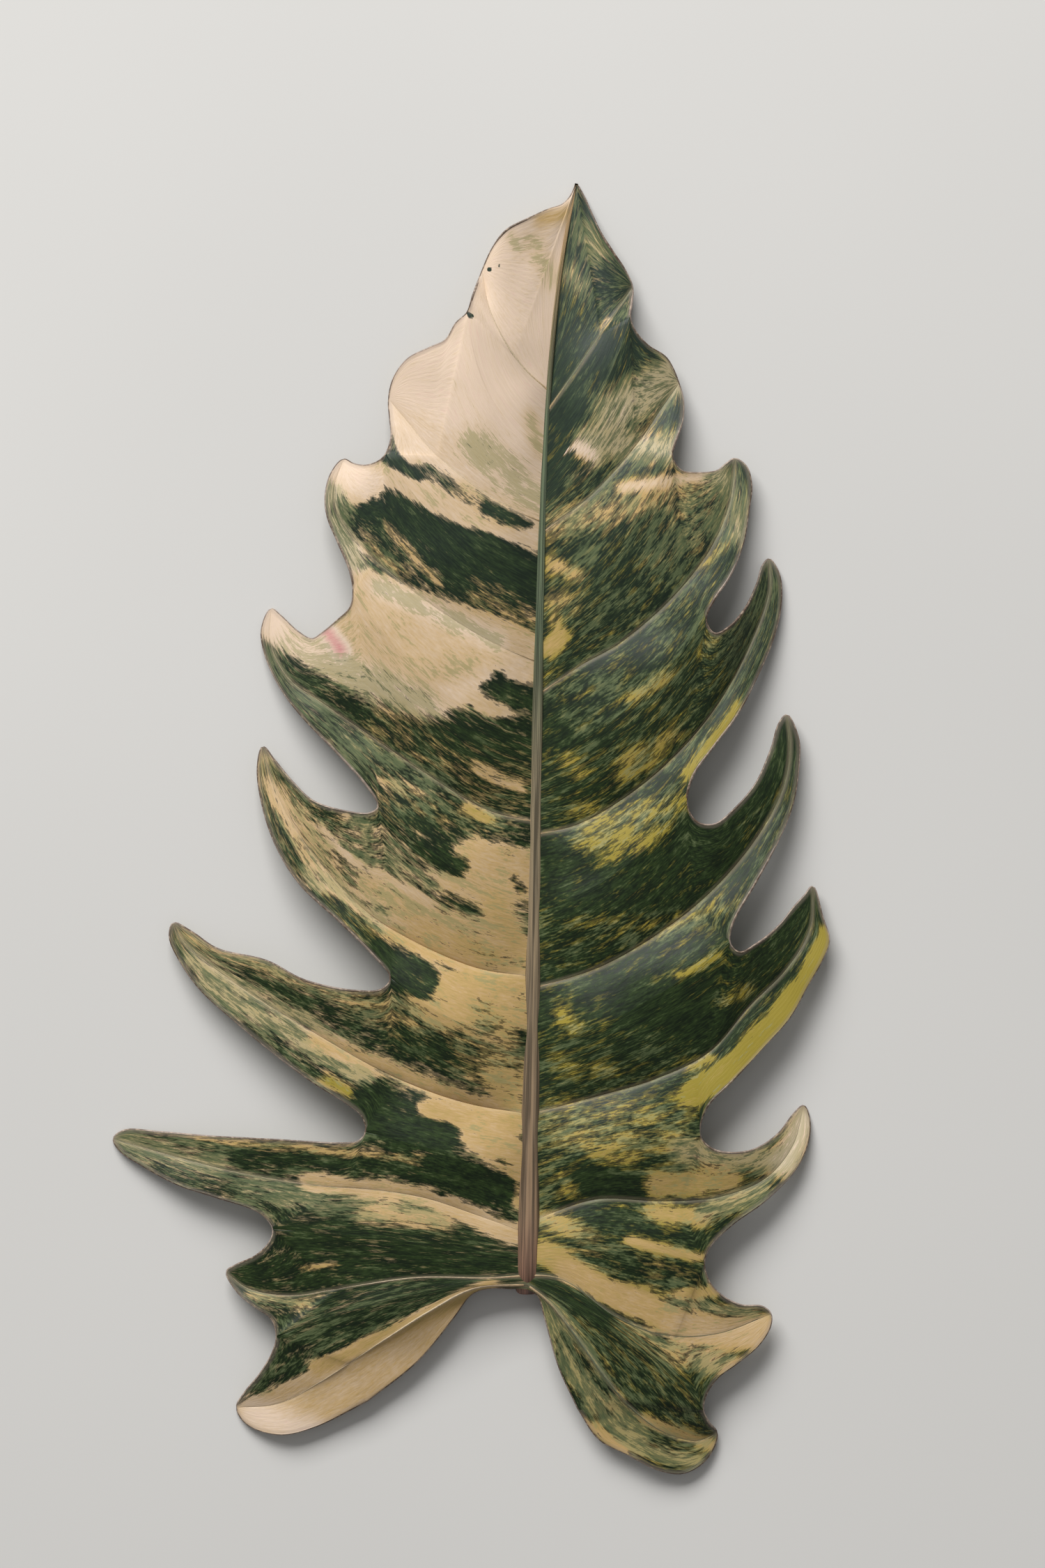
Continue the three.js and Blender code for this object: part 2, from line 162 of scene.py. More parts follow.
LEFT_START = Start([(5.2, -132.2), (0.6, -133.8), (-4.8, -140.8), (-14.8, -153)], (-29.4, -164.8), 4)
LEFT_LOBES = [
    Lobe(-131.2, -130, 0, 7,
         [(1.8, -131.8), (-11.4, -138.4), (-24.8, -147), (-44.8, -160.4), (-55.4, -166)],
         [(-44.8, -172.4), (-54.8, -174.6), (-64.2, -172)], (-67.2, -167.4),
         [(-64.8, -162.8), (-60.2, -157), (-56.4, -150.4)], (-55.4, -146)),
    Lobe(-128.6, -123, 3, 8,
         [(5.2, -129), (-14.8, -128.8), (-34.8, -131.6), (-51.4, -134.4), (-64.2, -132.4)],
         [(-56.8, -141), (-62.4, -137), (-66.8, -133.4)], (-70, -128),
         [(-67.4, -126), (-61.4, -123), (-57.4, -119)], (-56.4, -115)),
    Lobe(-116.4, -99, 0, 10,
         [(1.8, -111), (-11.4, -106.4), (-24.8, -104), (-46.8, -102.2), (-66.8, -99), (-84.8, -94.8)],
         [(-60.2, -110.4), (-73.4, -105.8), (-84.2, -102.4), (-94.8, -97), (-101, -93)], (-102.8, -89.8),
         [(-99.6, -87.4), (-89.4, -87.8), (-74.8, -88.8), (-54.8, -89.6), (-36.8, -90.4), (-31.8, -89.8)],
         (-29.6, -87)),
    Lobe(-82.4, -62, 2.5, 12,
         [(-0.8, -79), (-20.8, -71.8), (-44.2, -59), (-68.8, -43.8), (-82.2, -33)],
         [(-30.6, -82.6), (-34.8, -79), (-44.8, -72.8), (-56.2, -64.4),
          (-66.8, -55.8), (-77.4, -46.4), (-83.8, -37.6), (-86.4, -31.4)], (-85.4, -27.6),
         [(-80.2, -30), (-72.8, -34.8), (-58.2, -38.2), (-47.4, -43.6), (-32.8, -46.6), (-25, -46.2)],
         (-22.4, -42.8)),
    Lobe(-42.8, -20, 3, 11,
         [(2.6, -40.4), (-17.4, -31.8), (-30.8, -23), (-48.8, -2.4), (-56.2, 11.6)],
         [(-27.4, -36.4), (-36.8, -27), (-48.8, -15.8), (-55.8, -4.4), (-59.8, 7.6), (-61, 17.6)],
         (-59.6, 23.2),
         [(-56.4, 19.6), (-50.8, 13), (-44.8, 7.6), (-34.8, 4.6), (-28.4, 4.2)], (-26, 6.2)),
    Lobe(1.6, 25, 0, 10,
         [(5.2, 5), (-14.8, 17), (-27.4, 25.6), (-41.4, 35.2), (-52.4, 43.2), (-57.6, 53.6)],
         [(-29.8, 12.6), (-37.4, 21), (-48.2, 32.2), (-54.2, 40), (-58.8, 49.6), (-60, 57)], (-57.4, 63),
         [(-54.8, 61.2), (-49.8, 56.6), (-45.4, 54.2), (-42.2, 56), (-38.2, 59.2), (-34.2, 63)],
         (-33.2, 67.6)),
    Lobe(47.6, 68, 3, 9,
         [(5.8, 53.6), (-7.4, 61.6), (-20.2, 71), (-31.8, 81.6), (-38, 90.6), (-38.8, 98.6)],
         [(-34.2, 73.6), (-37.8, 82.2), (-40.8, 89.6), (-41.4, 95.6), (-39.8, 102)], (-36.4, 106),
         [(-33.4, 104.6), (-29.8, 104), (-26.2, 105)], (-24, 107)),
    Lobe(88, 107, 4, 8,
         [(12.6, 91.4), (1.2, 98.2), (-10.8, 108.2), (-17.8, 116.6)],
         [(-22.4, 112), (-22.8, 117.6)], (-23.2, 123.2),
         [(-21.8, 129.2), (-17.8, 134.6), (-11.4, 137.8), (-6.8, 140), (-3.8, 144.8)], (-0.6, 147.8)),
    Lobe(125.6, 130, 4, 0,
         [(15.8, 131.6), (9.2, 141), (5.6, 149.6)],
         [(1.2, 153.2)], (3.6, 160),
         [(6.8, 166.8), (10.6, 171.6), (17.2, 175.2), (22.8, 178), (26.8, 179.6), (29.2, 182.2)],
         foot=0.34),
]

RIGHT_START = Start([(19.8, -134.4), (21.8, -141), (25.8, -155)], (31.2, -167), 4)
RIGHT_LOBES = [
    Lobe(-131.2, -130, 1, 7,
         [(22.6, -135.8), (29.2, -143.8), (39.2, -157.8), (45.8, -165.8), (55.2, -173.4), (65.2, -176.6)],
         [(37.2, -175.8), (45.8, -180.4), (54.6, -184.8), (61.2, -185.8), (66.8, -183.2), (70.2, -178.8)],
         (71.2, -174.6), [(68.8, -171)], (67, -167)),
    Lobe(-128.4, -121, 4, 9,
         [(24.6, -128.8), (29.8, -131), (41.8, -139.8), (55.2, -145.2), (71.2, -145.2)],
         [(68, -162.4), (71.2, -157.8), (77.2, -153.4), (83.2, -148.4), (86.4, -143.4)], (86.6, -140),
         [(84.2, -137.8), (78.2, -137.2), (72.6, -134.4), (68.6, -130)], (67.2, -124.8)),
    Lobe(-113.4, -98, 0, 11,
         [(25.2, -110), (36.6, -106.4), (55.2, -107), (71.2, -106), (85.2, -100.8), (93.2, -91.4)],
         [(68.6, -120.4), (75.2, -113.8), (85.2, -106.8), (94.6, -97), (97.8, -88.8), (97.8, -83.4)],
         (96.4, -80.4),
         [(93.8, -82.4), (88.6, -88.4), (81.8, -92.4), (75.2, -93.2), (69.4, -91.9)], (66, -88.4)),
    Lobe(-82.4, -64, 3, 12,
         [(35.2, -77.4), (53.2, -72), (68.6, -64.4), (79.8, -51.8), (91.2, -40.4), (97.8, -29.4)],
         [(66.2, -84), (68.4, -79.2), (75.2, -72.4), (84.6, -62.4), (91.8, -54.4),
          (97.2, -45), (101.4, -37.8), (103.4, -32.4), (101.6, -26)], (98.8, -17),
         [(96.6, -19.4), (93.2, -23), (88.8, -28.2), (82.2, -33.2), (77.2, -35.6)], (74.4, -32.8)),
    Lobe(-46.4, -24, 2, 11,
         [(37.8, -39.8), (57.8, -27.8), (71.2, -16.4), (83.2, -1.8), (90.2, 11.6), (92.2, 23.6)],
         [(75.2, -27.4), (81.8, -15.8), (87.8, -5), (92.6, 6.2), (94.6, 17.6), (94.6, 25.6)], (91.4, 32.4),
         [(89.2, 30), (86.8, 22.6), (82.2, 12.6), (75.8, 5.2), (70.2, 1), (65.2, 1.6)], (62.2, 6.6)),
    Lobe(-2, 18, 0, 11,
         [(31.2, 1), (47.8, 11), (61.2, 23), (71.8, 36.2), (81.2, 53.6), (86.2, 67.6)],
         [(63.8, 14.6), (69.8, 23.2), (76.6, 32.2), (82.6, 43.6), (87.2, 54.2), (89.6, 64.2), (89.2, 73)],
         (86.4, 77.4),
         [(84.6, 75.6), (82.8, 70.2), (79.2, 63), (74.2, 57.4), (70.2, 55.6)], (67.6, 59.6)),
    Lobe(38.2, 61, 3, 10,
         [(32.6, 47), (43.2, 53), (57.8, 65.6), (69.2, 80.2), (74.8, 93.6)],
         [(70.2, 65.6), (74.6, 72.2), (78.4, 81.6), (80.2, 91.6), (81, 98.6), (79.6, 104)], (76.4, 106.2),
         [(74, 104.8), (71.2, 102.6), (65.2, 101.8), (60.6, 102.4)], (58, 106.4)),
    Lobe(84.6, 102, 3, 9,
         [(35.8, 96.2), (49.2, 111.6), (55.2, 120.6)],
         [(58.8, 110), (61, 116.6), (61.4, 122.2)], (60.2, 127.8),
         [(56.6, 135), (51.2, 138.4), (47.6, 142.2)], (46, 146.4)),
    Lobe(119.6, 148, 3, 0,
         [(30.2, 130.6), (38.2, 142.6)],
         [(46.6, 151.2)], (46.8, 155.6),
         [(44.8, 160.2), (41.2, 165.6), (37.8, 171), (34.8, 177.6), (33, 181.8)]),
]


class Mark(NamedTuple):
    """A brushed patch of the blade between two places, laid over those before it.

    `reach` is its half width, and its border fades over `soft` to either side. `cream` runs from -1.5, all
    green, to 1.5, all cream, and is flecked near 0. The sage share gives half-green streaks, and on some
    marks painted sheen, the grey-green of light glancing off the glossy skin. `tint` turns cream to pink
    below 0 and to yellow near 1; None leaves it alone.
    """

    from_x: float
    from_y: float
    to_x: float
    to_y: float
    reach: float
    cream: float
    sage_and_sheen: float
    tint: float
    soft: float


LEFT_GROUND = {"cream": -0.75, "sage_and_sheen": 0.3, "tint": 0.35}
LEFT_MARKS = [
    # The creamy point and the lobe below it.
    (27, 182, 8, 140, 26, 1.4, 0, 0.02, 4),
    (-24, 124, 22, 112, 22, 1.4, 0, 0, 4),
    (-20, 112, 20, 92, 9, 1.3, 0, 0.1, 3),
    (21, 175, 28, 177, 2, 1.2, 0.2, 0.55, 3),
    (18, 168, 24, 158, 3, 1.2, 0.62, 0.25, 3),
    (12, 170, 14, 166, 1.6, 1.2, 0.7, 0.2, 1.6),
    (18, 118, 20, 108, 2.6, 0.8, 0.62, 0.3, 3),
    (2, 110, 20, 93, 6, 0.6, 0.68, 0.2, 4),
    (-30, 101, 18, 83, 8.5, 1.1, 0.4, 0.26, 3),
    (5.6, 160.6, 5.7, 160.4, 0.5, -3, 0, None, 0.4),
    (8.4, 162, 8.5, 161.8, 0.4, -3, 0, None, 0.4),
    (-0.4, 147.6, 0.9, 146.9, 0.35, -3, 0, None, 0.5),
    (-22.5, 112, -21, 106, 1.2, -0.6, 0.4, None, 1.5),
    (-24, 106.5, -15, 101.5, 2.2, -1.1, 0.2, None, 1.6),
    (-12, 102.5, 1, 94, 2.2, -0.75, 0.2, None, 2),
    (-2, 96, 14, 85, 3, 0.1, 0.3, 0.35, 3),
    (5, 92, 17, 86.5, 2.2, -1, 0.1, None, 1.8),
    (8, 83, 19, 83, 2.4, 1.3, 0, 0.2, 2),
    # The dark half of the third lobe, its flecked foot and pale tip.
    (-24, 89, 2, 74, 8, -1.4, 0.1, None, 2.2),
    (-4, 79, 20, 71, 8, -1.4, 0.1, None, 2.2),
    (-26, 83, -4, 64, 5, -0.85, 0.25, None, 4),
    (-24, 87, -9, 70, 0.9, 0.5, 0.3, 0.5, 1.6),
    (-33, 84, -18, 72, 2, -0.2, 0.4, 0.5, 2.5),
    (4, 66, 19, 56, 6, -0.42, 0.2, 0.5, 5),
    (-40, 97, -34, 76, 3, -0.1, 0.85, 0.1, 3),
    (-38, 92, -31, 84, 2, -0.7, 0.5, None, 2),
    (-37, 104, -29, 99, 4, 1.4, 0, 0, 3),
    (-33, 80, -32, 70, 2.5, 0.05, 0.8, 0.1, 3),
    # The broad cream field of the fourth lobe.
    (-31, 66, 16, 49, 7.5, 1.1, 0.28, 0.32, 2.5),
    (-40, 55, 4, 42, 7, 1, 0.36, 0.34, 3.5),
    (-26, 69, 8, 53.5, 2.6, 0.8, 0.68, 0.1, 3),
    (-46, 50, -10, 33, 4.5, 0.45, 0.8, 0.2, 3.5),
    (-6, 38, 14, 46, 3.5, 1.2, 0.15, 0.2, 2.5),
    (8, 42, 19, 35, 3.2, -1.1, 0.15, None, 2),
    (4, 40, 9, 37, 1.6, -0.9, 0.15, None, 1.6),
    (4, 35, 10, 33, 1.8, 0.9, 0.1, 0.3, 2),
    (-41, 56, -37, 51, 1.6, 1.2, 0.1, -1, 3),
    (-58, 61, -55, 56, 4, 1.4, 0.1, 0, 3),
    (-52, 53, -44, 51, 3.5, 0.9, 0.5, 0.1, 4),
    (-58, 50, -36, 26, 3.4, -0.85, 0.55, None, 3),
    (-52, 47, -28, 30, 2.2, -0.95, 0.25, None, 2.5),
    (-24, 25, 14, 14, 9, -0.55, 0.25, 0.55, 4),
    (-6, 27, 16, 24, 5, -1, 0.15, None, 4),
    (2, 17, 15, 11.5, 1, 0.9, 0.1, 0.35, 1.4),
    # Painted sheen: a grey-blue band just below the vein, where the skin faces the light.
    (-34, 22, -8, 11, 4.5, -0.85, 0.6, None, 4),
    (-25, 14, -16, 10, 1.4, 0.2, 0.4, 0.5, 2),
    (-26, 6, 8, 3, 4, -0.5, 0.45, 0.6, 4),
    (0, 5.5, 6, 2, 1.5, 0.7, 0.2, 0.75, 2),
    # The fifth lobe: a cream field by the midrib, a streaked finger.
    (-36, -2, -6, -19, 8, -0.3, 0.5, 0.4, 4),
    (-20, 2, 6, -3, 3, -0.9, 0.2, None, 3),
    (1, -9, 16, -12, 6, 0.95, 0.3, 0.45, 2.2),
    (-4, -16, 15, -18, 4.5, 0.75, 0.4, 0.45, 2.5),
    (-13, -6, -3, -11, 2.8, -1.2, 0.1, None, 1.8),
    (10, -3, 12, -6, 1.6, -0.4, 0.3, None, 2),
    (13, -15, 15, -18, 1.6, -0.6, 0.2, None, 1.6),
    (-8, -21, 5, -26, 2.4, -1.05, 0.15, None, 1.8),
    (-30, -17, 8, -31, 3.2, 0.55, 0.6, 0.5, 3),
    (-43, 0, -33, -10, 0.8, 1, 0.1, 0.15, 1.2),
    (-33, -10, -10, -22, 0.9, 0.9, 0.2, 0.3, 1.4),
    (7, -22, 15, -36, 4, 0.75, 0.4, 0.55, 3),
    (-22, -26, 8, -36, 2.6, 1, 0.25, 0.5, 2.5),
    (-3, -33, 9, -38, 1.8, 0.15, 0.4, 0.6, 2.5),
    (-59, 17, -40, -14, 5, 0.12, 0.5, 0.45, 3),
    (-58, 14, -50, 0, 1.2, 0.6, 0.2, 0.35, 2),
    (-57, 17, -38, 2, 1.8, -0.7, 0.4, 0.5, 2.5),
    (-60, 9, -49, -12, 1.3, -0.7, 0.3, 0.5, 2),
    (-44, -14, -20, -30, 3.2, 0.25, 0.65, 0.4, 3),
    (-41, -21, -27, -32, 1.9, -0.7, 0.3, 0.8, 2),
    (-22, -31, 2, -40, 2.5, 1, 0.3, 0.55, 2.5),
    # The sixth lobe: tan by the midrib with mossy specks, a dark spot at the notch.
    (-14, -46, 14, -44, 4.5, 0.95, 0.3, 0.55, 2.5),
    (-16, -53, 14, -53, 5, 0.7, 0.4, 0.55, 3),
    (2, -66, 14, -72, 6, 0.4, 0.5, 0.6, 3),
    (-25, -36, -13, -43.5, 4, -1.3, 0.05, None, 1.6),
    (-28, -44, -13, -47, 2, -1.1, 0.1, None, 1.6),
    (-32, -48, -4, -63, 4.6, -0.3, 0.45, 0.6, 4),
    (-20, -60, 0, -67, 3.4, -0.85, 0.2, 0.6, 3),
    (4, -53, 12, -61, 3.6, 0, 0.4, 0.6, 3.5),
    (-3, -60, 6, -66, 3, -0.35, 0.4, 0.6, 3),
    (9, -66, 13, -68, 1.8, -0.2, 0.4, 0.6, 2),
    (2, -72, 8, -74, 1.2, -0.4, 0.3, 0.6, 1.6),
    (-82, -31, -34, -48, 2.6, 0, 0.6, 0.55, 3),
    (-64, -44, -44, -54, 3, -0.95, 0.2, None, 2.5),
    (-80, -38, -38, -60, 2, 0.15, 0.8, 0.4, 2.5),
    (-76, -45, -30, -71, 3, -0.1, 0.85, 0.4, 3),
    (-44, -61, 12, -83, 2.4, 0.95, 0.3, 0.5, 2.2),
    (8, -74, 14, -82, 3, 0.6, 0.4, 0.6, 2.5),
    (-41, -72, -34, -76, 1.6, 0.5, 0.4, 1, 2),
    (-31, -76, -14, -80, 2.6, -1.2, 0.1, None, 2),
    # The long seventh lobe.
    (-12, -81, 12, -86, 3, 1.15, 0.15, 0.55, 2),
    (3, -87, 14, -96, 5.5, 0.95, 0.3, 0.5, 2),
    (12, -96, 14, -108, 1.6, 1, 0.2, 0.5, 1.6),
    (-34, -83, -8, -88, 4.2, -1.5, 0.05, None, 1.8),
    (-20, -94, 9, -104, 4.6, -1.45, 0.05, None, 2),
    (9, -95, 11, -97, 0.9, -0.5, 0.2, None, 1.2),
    (-78, -89.5, -14, -95, 1.8, 0.1, 0.4, 0.6, 2.4),
    (-76, -93, -18, -97.5, 1.9, -1.1, 0.2, None, 2),
    (-100, -90, -72, -97, 3.4, -0.35, 0.75, 0.4, 4),
    # Painted sheen: a grey-blue streak along the lobe, light glancing off the skin.
    (-62, -104, -36, -107, 4.4, -0.6, 0.7, None, 4),
    (-46, -101.5, -12, -105.5, 2.4, 0.95, 0.35, 0.45, 2.2),
    (-30, -110, -7, -113, 3.4, 0.45, 0.6, 0.5, 3),
    (-6, -108, 13, -117, 2.6, 1.2, 0.1, 0.4, 2.2),
    (-52, -117, -2, -121, 5, -1.05, 0.15, None, 4),
    (-20, -122, 11, -125, 3, -1.2, 0.15, None, 3),
    # The eighth lobe and the cream band of the lowest one.
    (-66, -128, 0, -128, 5, -1.1, 0.12, None, 4),
    (-49, -126.2, -38, -125.6, 0.7, 0.4, 0.3, 0.7, 1.2),
    (-63, -134, -46, -137, 1.2, 0, 0.6, 0.6, 2),
    (-62, -161, -16, -136, 9, -1, 0.35, None, 3),
    (-64, -177, 2, -142, 10, 1.5, 0, 0.38, 1.6),
    (-44, -155, 6, -131.5, 2, 1.2, 0.15, 0.6, 2),
    (-62, -169, -46, -174, 4, 1.5, 0, 0, 4),
]

RIGHT_GROUND = {"cream": -0.85, "sage_and_sheen": 0.3, "tint": 0.9}
RIGHT_MARKS = [
    # The point and the second lobe; their grey-green sage patches are partly painted sheen.
    (30, 182, 44, 152, 9, -0.95, 0.4, 0.4, 4),
    (33, 172, 37, 165, 2.4, -0.2, 0.85, 0.4, 3),
    (28, 160, 33, 155, 2, -0.3, 0.75, 0.4, 3),
    (36, 141, 40, 146, 0.8, 0.35, 0.4, 0.35, 1.4),
    (26, 138, 46, 134, 7, -1.1, 0.25, None, 4),
    (25, 130, 31, 108, 6, -1.25, 0.1, None, 3),
    (42, 119, 58, 130, 6.5, 0, 0.85, 0.2, 4),
    (34, 111, 58, 108, 4.5, 0.1, 0.8, 0.2, 4),
    (31, 109, 36, 106, 1.7, 1, 0.2, -0.05, 1.8),
    (28, 108, 28.4, 108, 0.5, 1.2, 0, -0.7, 0.8),
    (29, 100, 37, 104, 1.2, 0.3, 0.5, 0.3, 2),
    (24, 98, 42, 102, 2.6, -0.85, 0.5, None, 3),
    (23, 102, 25, 88, 2.6, -1.3, 0.1, None, 3),
    # The third lobe, streaked all over.
    (26, 88, 66, 94, 6, -0.15, 0.5, 0.55, 5),
    (44, 97.5, 67, 101, 1.8, 0.8, 0.3, 0.2, 2),
    (30, 78, 54, 86, 4.5, -0.85, 0.4, None, 4),
    # Painted sheen: a grey-green strip along the lobe's outer margin near its tip.
    (72, 100, 79, 84, 4, -0.1, 0.95, 0.2, 4),
    (56, 76, 72, 92, 6, -0.6, 0.6, 0.6, 5),
    (62, 69, 73, 81, 0.9, 0.55, 0.4, 0.8, 1.6),
    (24, 76, 32, 72, 2, 0.35, 0.3, 0.5, 3),
    (24, 66, 32, 63, 3, 0, 0.4, 0.6, 4),
    (38, 58, 62, 70, 8, -0.85, 0.4, 0.85, 5),
    (23, 51, 26, 55, 2.6, 1.2, 0.1, 0.65, 1.8),
    (23, 42, 27, 46, 1.2, 0.5, 0.3, 0.7, 2),
    (24, 60, 26, 57, 1.2, 0.6, 0.3, 0.65, 1.6),
    # The fourth lobe, green with fine flecks and a yellow lower margin.
    (30, 36, 72, 48, 12, -0.82, 0.35, 0.9, 5),
    (24, 30, 28, 22, 4, -1.1, 0.2, None, 3),
    (47, 37, 58, 44, 1.8, 0.1, 0.5, 0.8, 2.5),
    (68, 52, 79, 62, 1.6, 0, 0.5, 0.8, 2.5),
    (76, 50, 88, 74, 4, -0.95, 0.45, None, 4),
    (28, 20, 32, 16, 2.2, 0.3, 0.3, 0.85, 3),
    (44, 19, 59, 27, 2.2, 0.15, 0.4, 0.8, 3),
    (62, 15, 77, 35, 1.4, 0.6, 0.3, 0.9, 1.6),
    (30, 5, 54, 21, 2.2, 0.2, 0.4, 0.85, 3),
    (30, 10, 40, 12, 3, -0.9, 0.2, None, 3),
    # The fifth lobe, yellow above and deep green below.
    (34, 1, 62, 7, 3, 0, 0.4, 0.95, 3),
    (32, -4, 58, -1, 2.4, 0.05, 0.3, 0.95, 3),
    (37, -9, 52, -5, 2.2, 0.2, 0.2, 0.9, 2.2),
    (36, -11.5, 42, -8.5, 1.4, 0.7, 0.1, 0.85, 1.6),
    (24, -8, 28, -18, 5, -1.2, 0.15, None, 3),
    (34, -20, 74, -8, 8, -1.1, 0.12, 0.9, 4),
    (64, -4, 93, 26, 6, -1.45, 0.2, None, 4),
    (32, -27, 52, -28, 2.6, -0.35, 0.4, 0.9, 4),
    (58, -28, 76, -21, 1.5, 0, 0.5, 0.95, 2.5),
    # The sixth lobe, deep green with a bright band along its lower margin.
    (24, -50, 84, -40, 9, -0.95, 0.15, 0.95, 5),
    (46, -50, 70, -56, 7, -1.35, 0.1, None, 4),
    (26, -53, 30, -58, 3, -0.05, 0.4, 0.95, 3),
    (24, -66, 30, -70, 2.6, -0.2, 0.4, 0.95, 3),
    (36, -69, 42, -70, 1.2, 0.1, 0.4, 0.9, 2),
    (60, -42, 72, -36, 1.2, 0.45, 0.4, 1, 2),
    (72, -50, 80, -46, 1.6, 0.1, 0.5, 1, 2.5),
    (84, -36, 98, -20, 3, -1.3, 0.2, None, 3),
    (60, -79, 80, -65, 3.4, 1, 0.15, 0.92, 1.8),
    (80, -64, 94, -48, 3.4, 0.95, 0.2, 0.96, 1.8),
    (94, -48, 103, -30, 2.2, 1, 0.2, 1, 1.6),
    (62, -69, 70, -66, 1, 0.5, 0.3, 0.9, 1.6),
    # The seventh lobe: mottled by the midrib, a dark block, pale beyond it.
    (24, -80, 62, -82, 3.6, -0.3, 0.4, 0.85, 3),
    (22, -88, 56, -90, 5, -0.2, 0.45, 0.8, 4),
    (21, -92, 24, -106, 2.6, -0.7, 0.4, 0.8, 3),
    (36, -93, 46, -94, 2, 0.2, 0.3, 0.8, 2.5),
    (34, -101, 47, -104, 4.4, -1.4, 0.1, None, 1.8),
    (34, -110, 50, -114, 3.2, -1.1, 0.25, None, 2),
    (26, -100, 30, -104, 2, 0.1, 0.4, 0.85, 3),
    (54, -102, 74, -101, 4.2, 0.6, 0.36, 0.65, 2.6),
    (52, -110, 66, -112, 2.6, 0.7, 0.3, 0.65, 2.4),
    (62, -92, 88, -96, 3.6, 0.15, 0.85, 0.4, 3),
    (68, -110, 84, -104, 2.6, -0.1, 0.85, 0.5, 3),
    (91, -96, 97, -83, 4, 0.9, 0.7, 0.05, 4),
    # The eighth lobe's broad cream band.
    (22, -112, 34, -117, 3, 0.3, 0.45, 0.7, 2.5),
    (22, -122, 32, -126, 4, 0.8, 0.3, 0.65, 2.5),
    (34, -121, 66, -132, 4.8, -0.55, 0.4, 0.7, 3),
    (36, -123, 56, -128, 2, -0.9, 0.3, None, 2),
    (46, -118, 66, -123, 1.4, 1, 0.2, 0.55, 1.6),
    (28, -128, 62, -142, 4, 1.15, 0.1, 0.5, 2),
    (60, -144, 85, -145, 5, 1.1, 0.2, 0.4, 2.2),
    (60, -134, 70, -133, 1.6, 1, 0.2, 0.6, 2),
    (58, -136, 82, -140, 1.8, -0.2, 0.7, 0.5, 2.2),
    # The lowest lobe: dark above its vein, sage below it.
    (48, -146, 74, -154, 4, 0.25, 0.6, 0.5, 3),
    (42, -142, 58, -152, 3.4, -0.25, 0.5, 0.6, 3),
    (30, -138, 62, -166, 5, -0.75, 0.4, 0.8, 4),
    (22, -130.5, 38, -140, 2.8, -1.3, 0.15, None, 2.2),
    (22, -140, 46, -176, 5.4, -0.25, 0.8, 0.65, 3),
    (27, -146, 40, -163, 1.2, -0.8, 0.4, None, 1.8),
    (50, -170, 70, -178, 2, 0.6, 0.5, 0.6, 2),
    (46, -177, 66, -183, 2.6, -0.05, 0.8, 0.6, 3),
    (32, -170, 44, -179, 1.2, 1, 0.3, 0.5, 1.6),
]


def paint(red, green, blue):
    """A colour picked as screen values, 0 to 255, as the linear values that shaders take."""
    shares = (value / 255 for value in (red, green, blue))
    return tuple(s / 12.92 if s <= 0.04045 else ((s + 0.055) / 1.055) ** 2.4 for s in shares)


def eased(low, high, value):
    share = np.clip((value - low) / (high - low), 0, 1)
    return share * share * (3 - 2 * share)


def share_at(y):
    return (y - BASE_Y) / (APEX_Y - BASE_Y)


def tapered(size, share, power=MIDRIB_TAPER_POWER):
    base, apex = size
    return apex + (base - apex) * (1 - share) ** power


def midrib_plan(y):
    """Plan points of the midrib's line, which leans right and hooks further near the point."""
    y = np.asarray(y, float)
    share = share_at(y)
    x = MIDRIB_BASE_X + MIDRIB_LEAN * share + MIDRIB_HOOK * share**MIDRIB_HOOK_POWER
    return np.stack([x, y], axis=-1)


def rib_height(y):
    """Height of the blade's underside along the midrib."""
    share = share_at(y)
    near_apex = np.maximum(0, (share - APEX_RISE_START) / (1 - APEX_RISE_START))
    at_stalk = RIB_RISE_AT_STALK * (1 - share) ** RIB_RISE_POWER
    return RIB_LOW * (1 - share**RIB_LOW_POWER) + at_stalk + RIB_RISE_NEAR_APEX * np.sin(np.pi * near_apex)


def smooth_line(points, places):
    """Points on the smooth curve through `points`, at places counted along them from 0."""
    through = np.asarray(points, float)
    ends = np.vstack([2 * through[0] - through[1], through, 2 * through[-1] - through[-2]])
    first = np.clip(np.floor(places).astype(int), 0, len(through) - 2)
    weight = (places - first)[:, None]
    before, here, there, after = (ends[first + k] for k in range(4))
    pairs = ((before, here), (here, there), (there, after))
    d0, d1, d2 = (np.sqrt(np.linalg.norm(b - a, axis=1, keepdims=True)) for a, b in pairs)
    leave = ((here - before) / d0 - (there - before) / (d0 + d1) + (there - here) / d1) * d1
    reach = ((there - here) / d1 - (after - here) / (d1 + d2) + (after - there) / d2) * d1
    square = 3 * (there - here) - 2 * leave - reach
    cube = 2 * (here - there) + leave + reach
    return here + weight * (leave + weight * (square + weight * cube))


class PacedLine:
    """A line in plan that is walked at an even pace, from 0 at its start to 1 at its end."""

    def __init__(self, samples):
        self.samples = samples
        steps = np.linalg.norm(np.diff(samples, axis=0), axis=1)
        self.reached = np.concatenate([[0], np.cumsum(steps)])
        self.length = self.reached[-1]
        self.heading = (samples[1] - samples[0]) / steps[0]

    def at(self, share):
        place = np.clip(share, 0, 1) * self.length
        return np.stack([np.interp(place, self.reached, self.samples[:, k]) for k in (0, 1)], axis=-1)


def paced(points):
    places = np.linspace(0, len(points) - 1, LINE_STEPS * (len(points) - 1) + 1)
    return PacedLine(smooth_line(points, places))


class Fold(NamedTuple):
    """The crest between two veins: its plan and its height, both by the share along it."""

    plan: object
    height: object


def fold_beside_stalk(start):
    line = paced([midrib_plan(BASE_Y), *start.edge, start.point])
    low = rib_height(BASE_Y)
    return Fold(line.at, lambda along: low + (start.crest - low) * along)


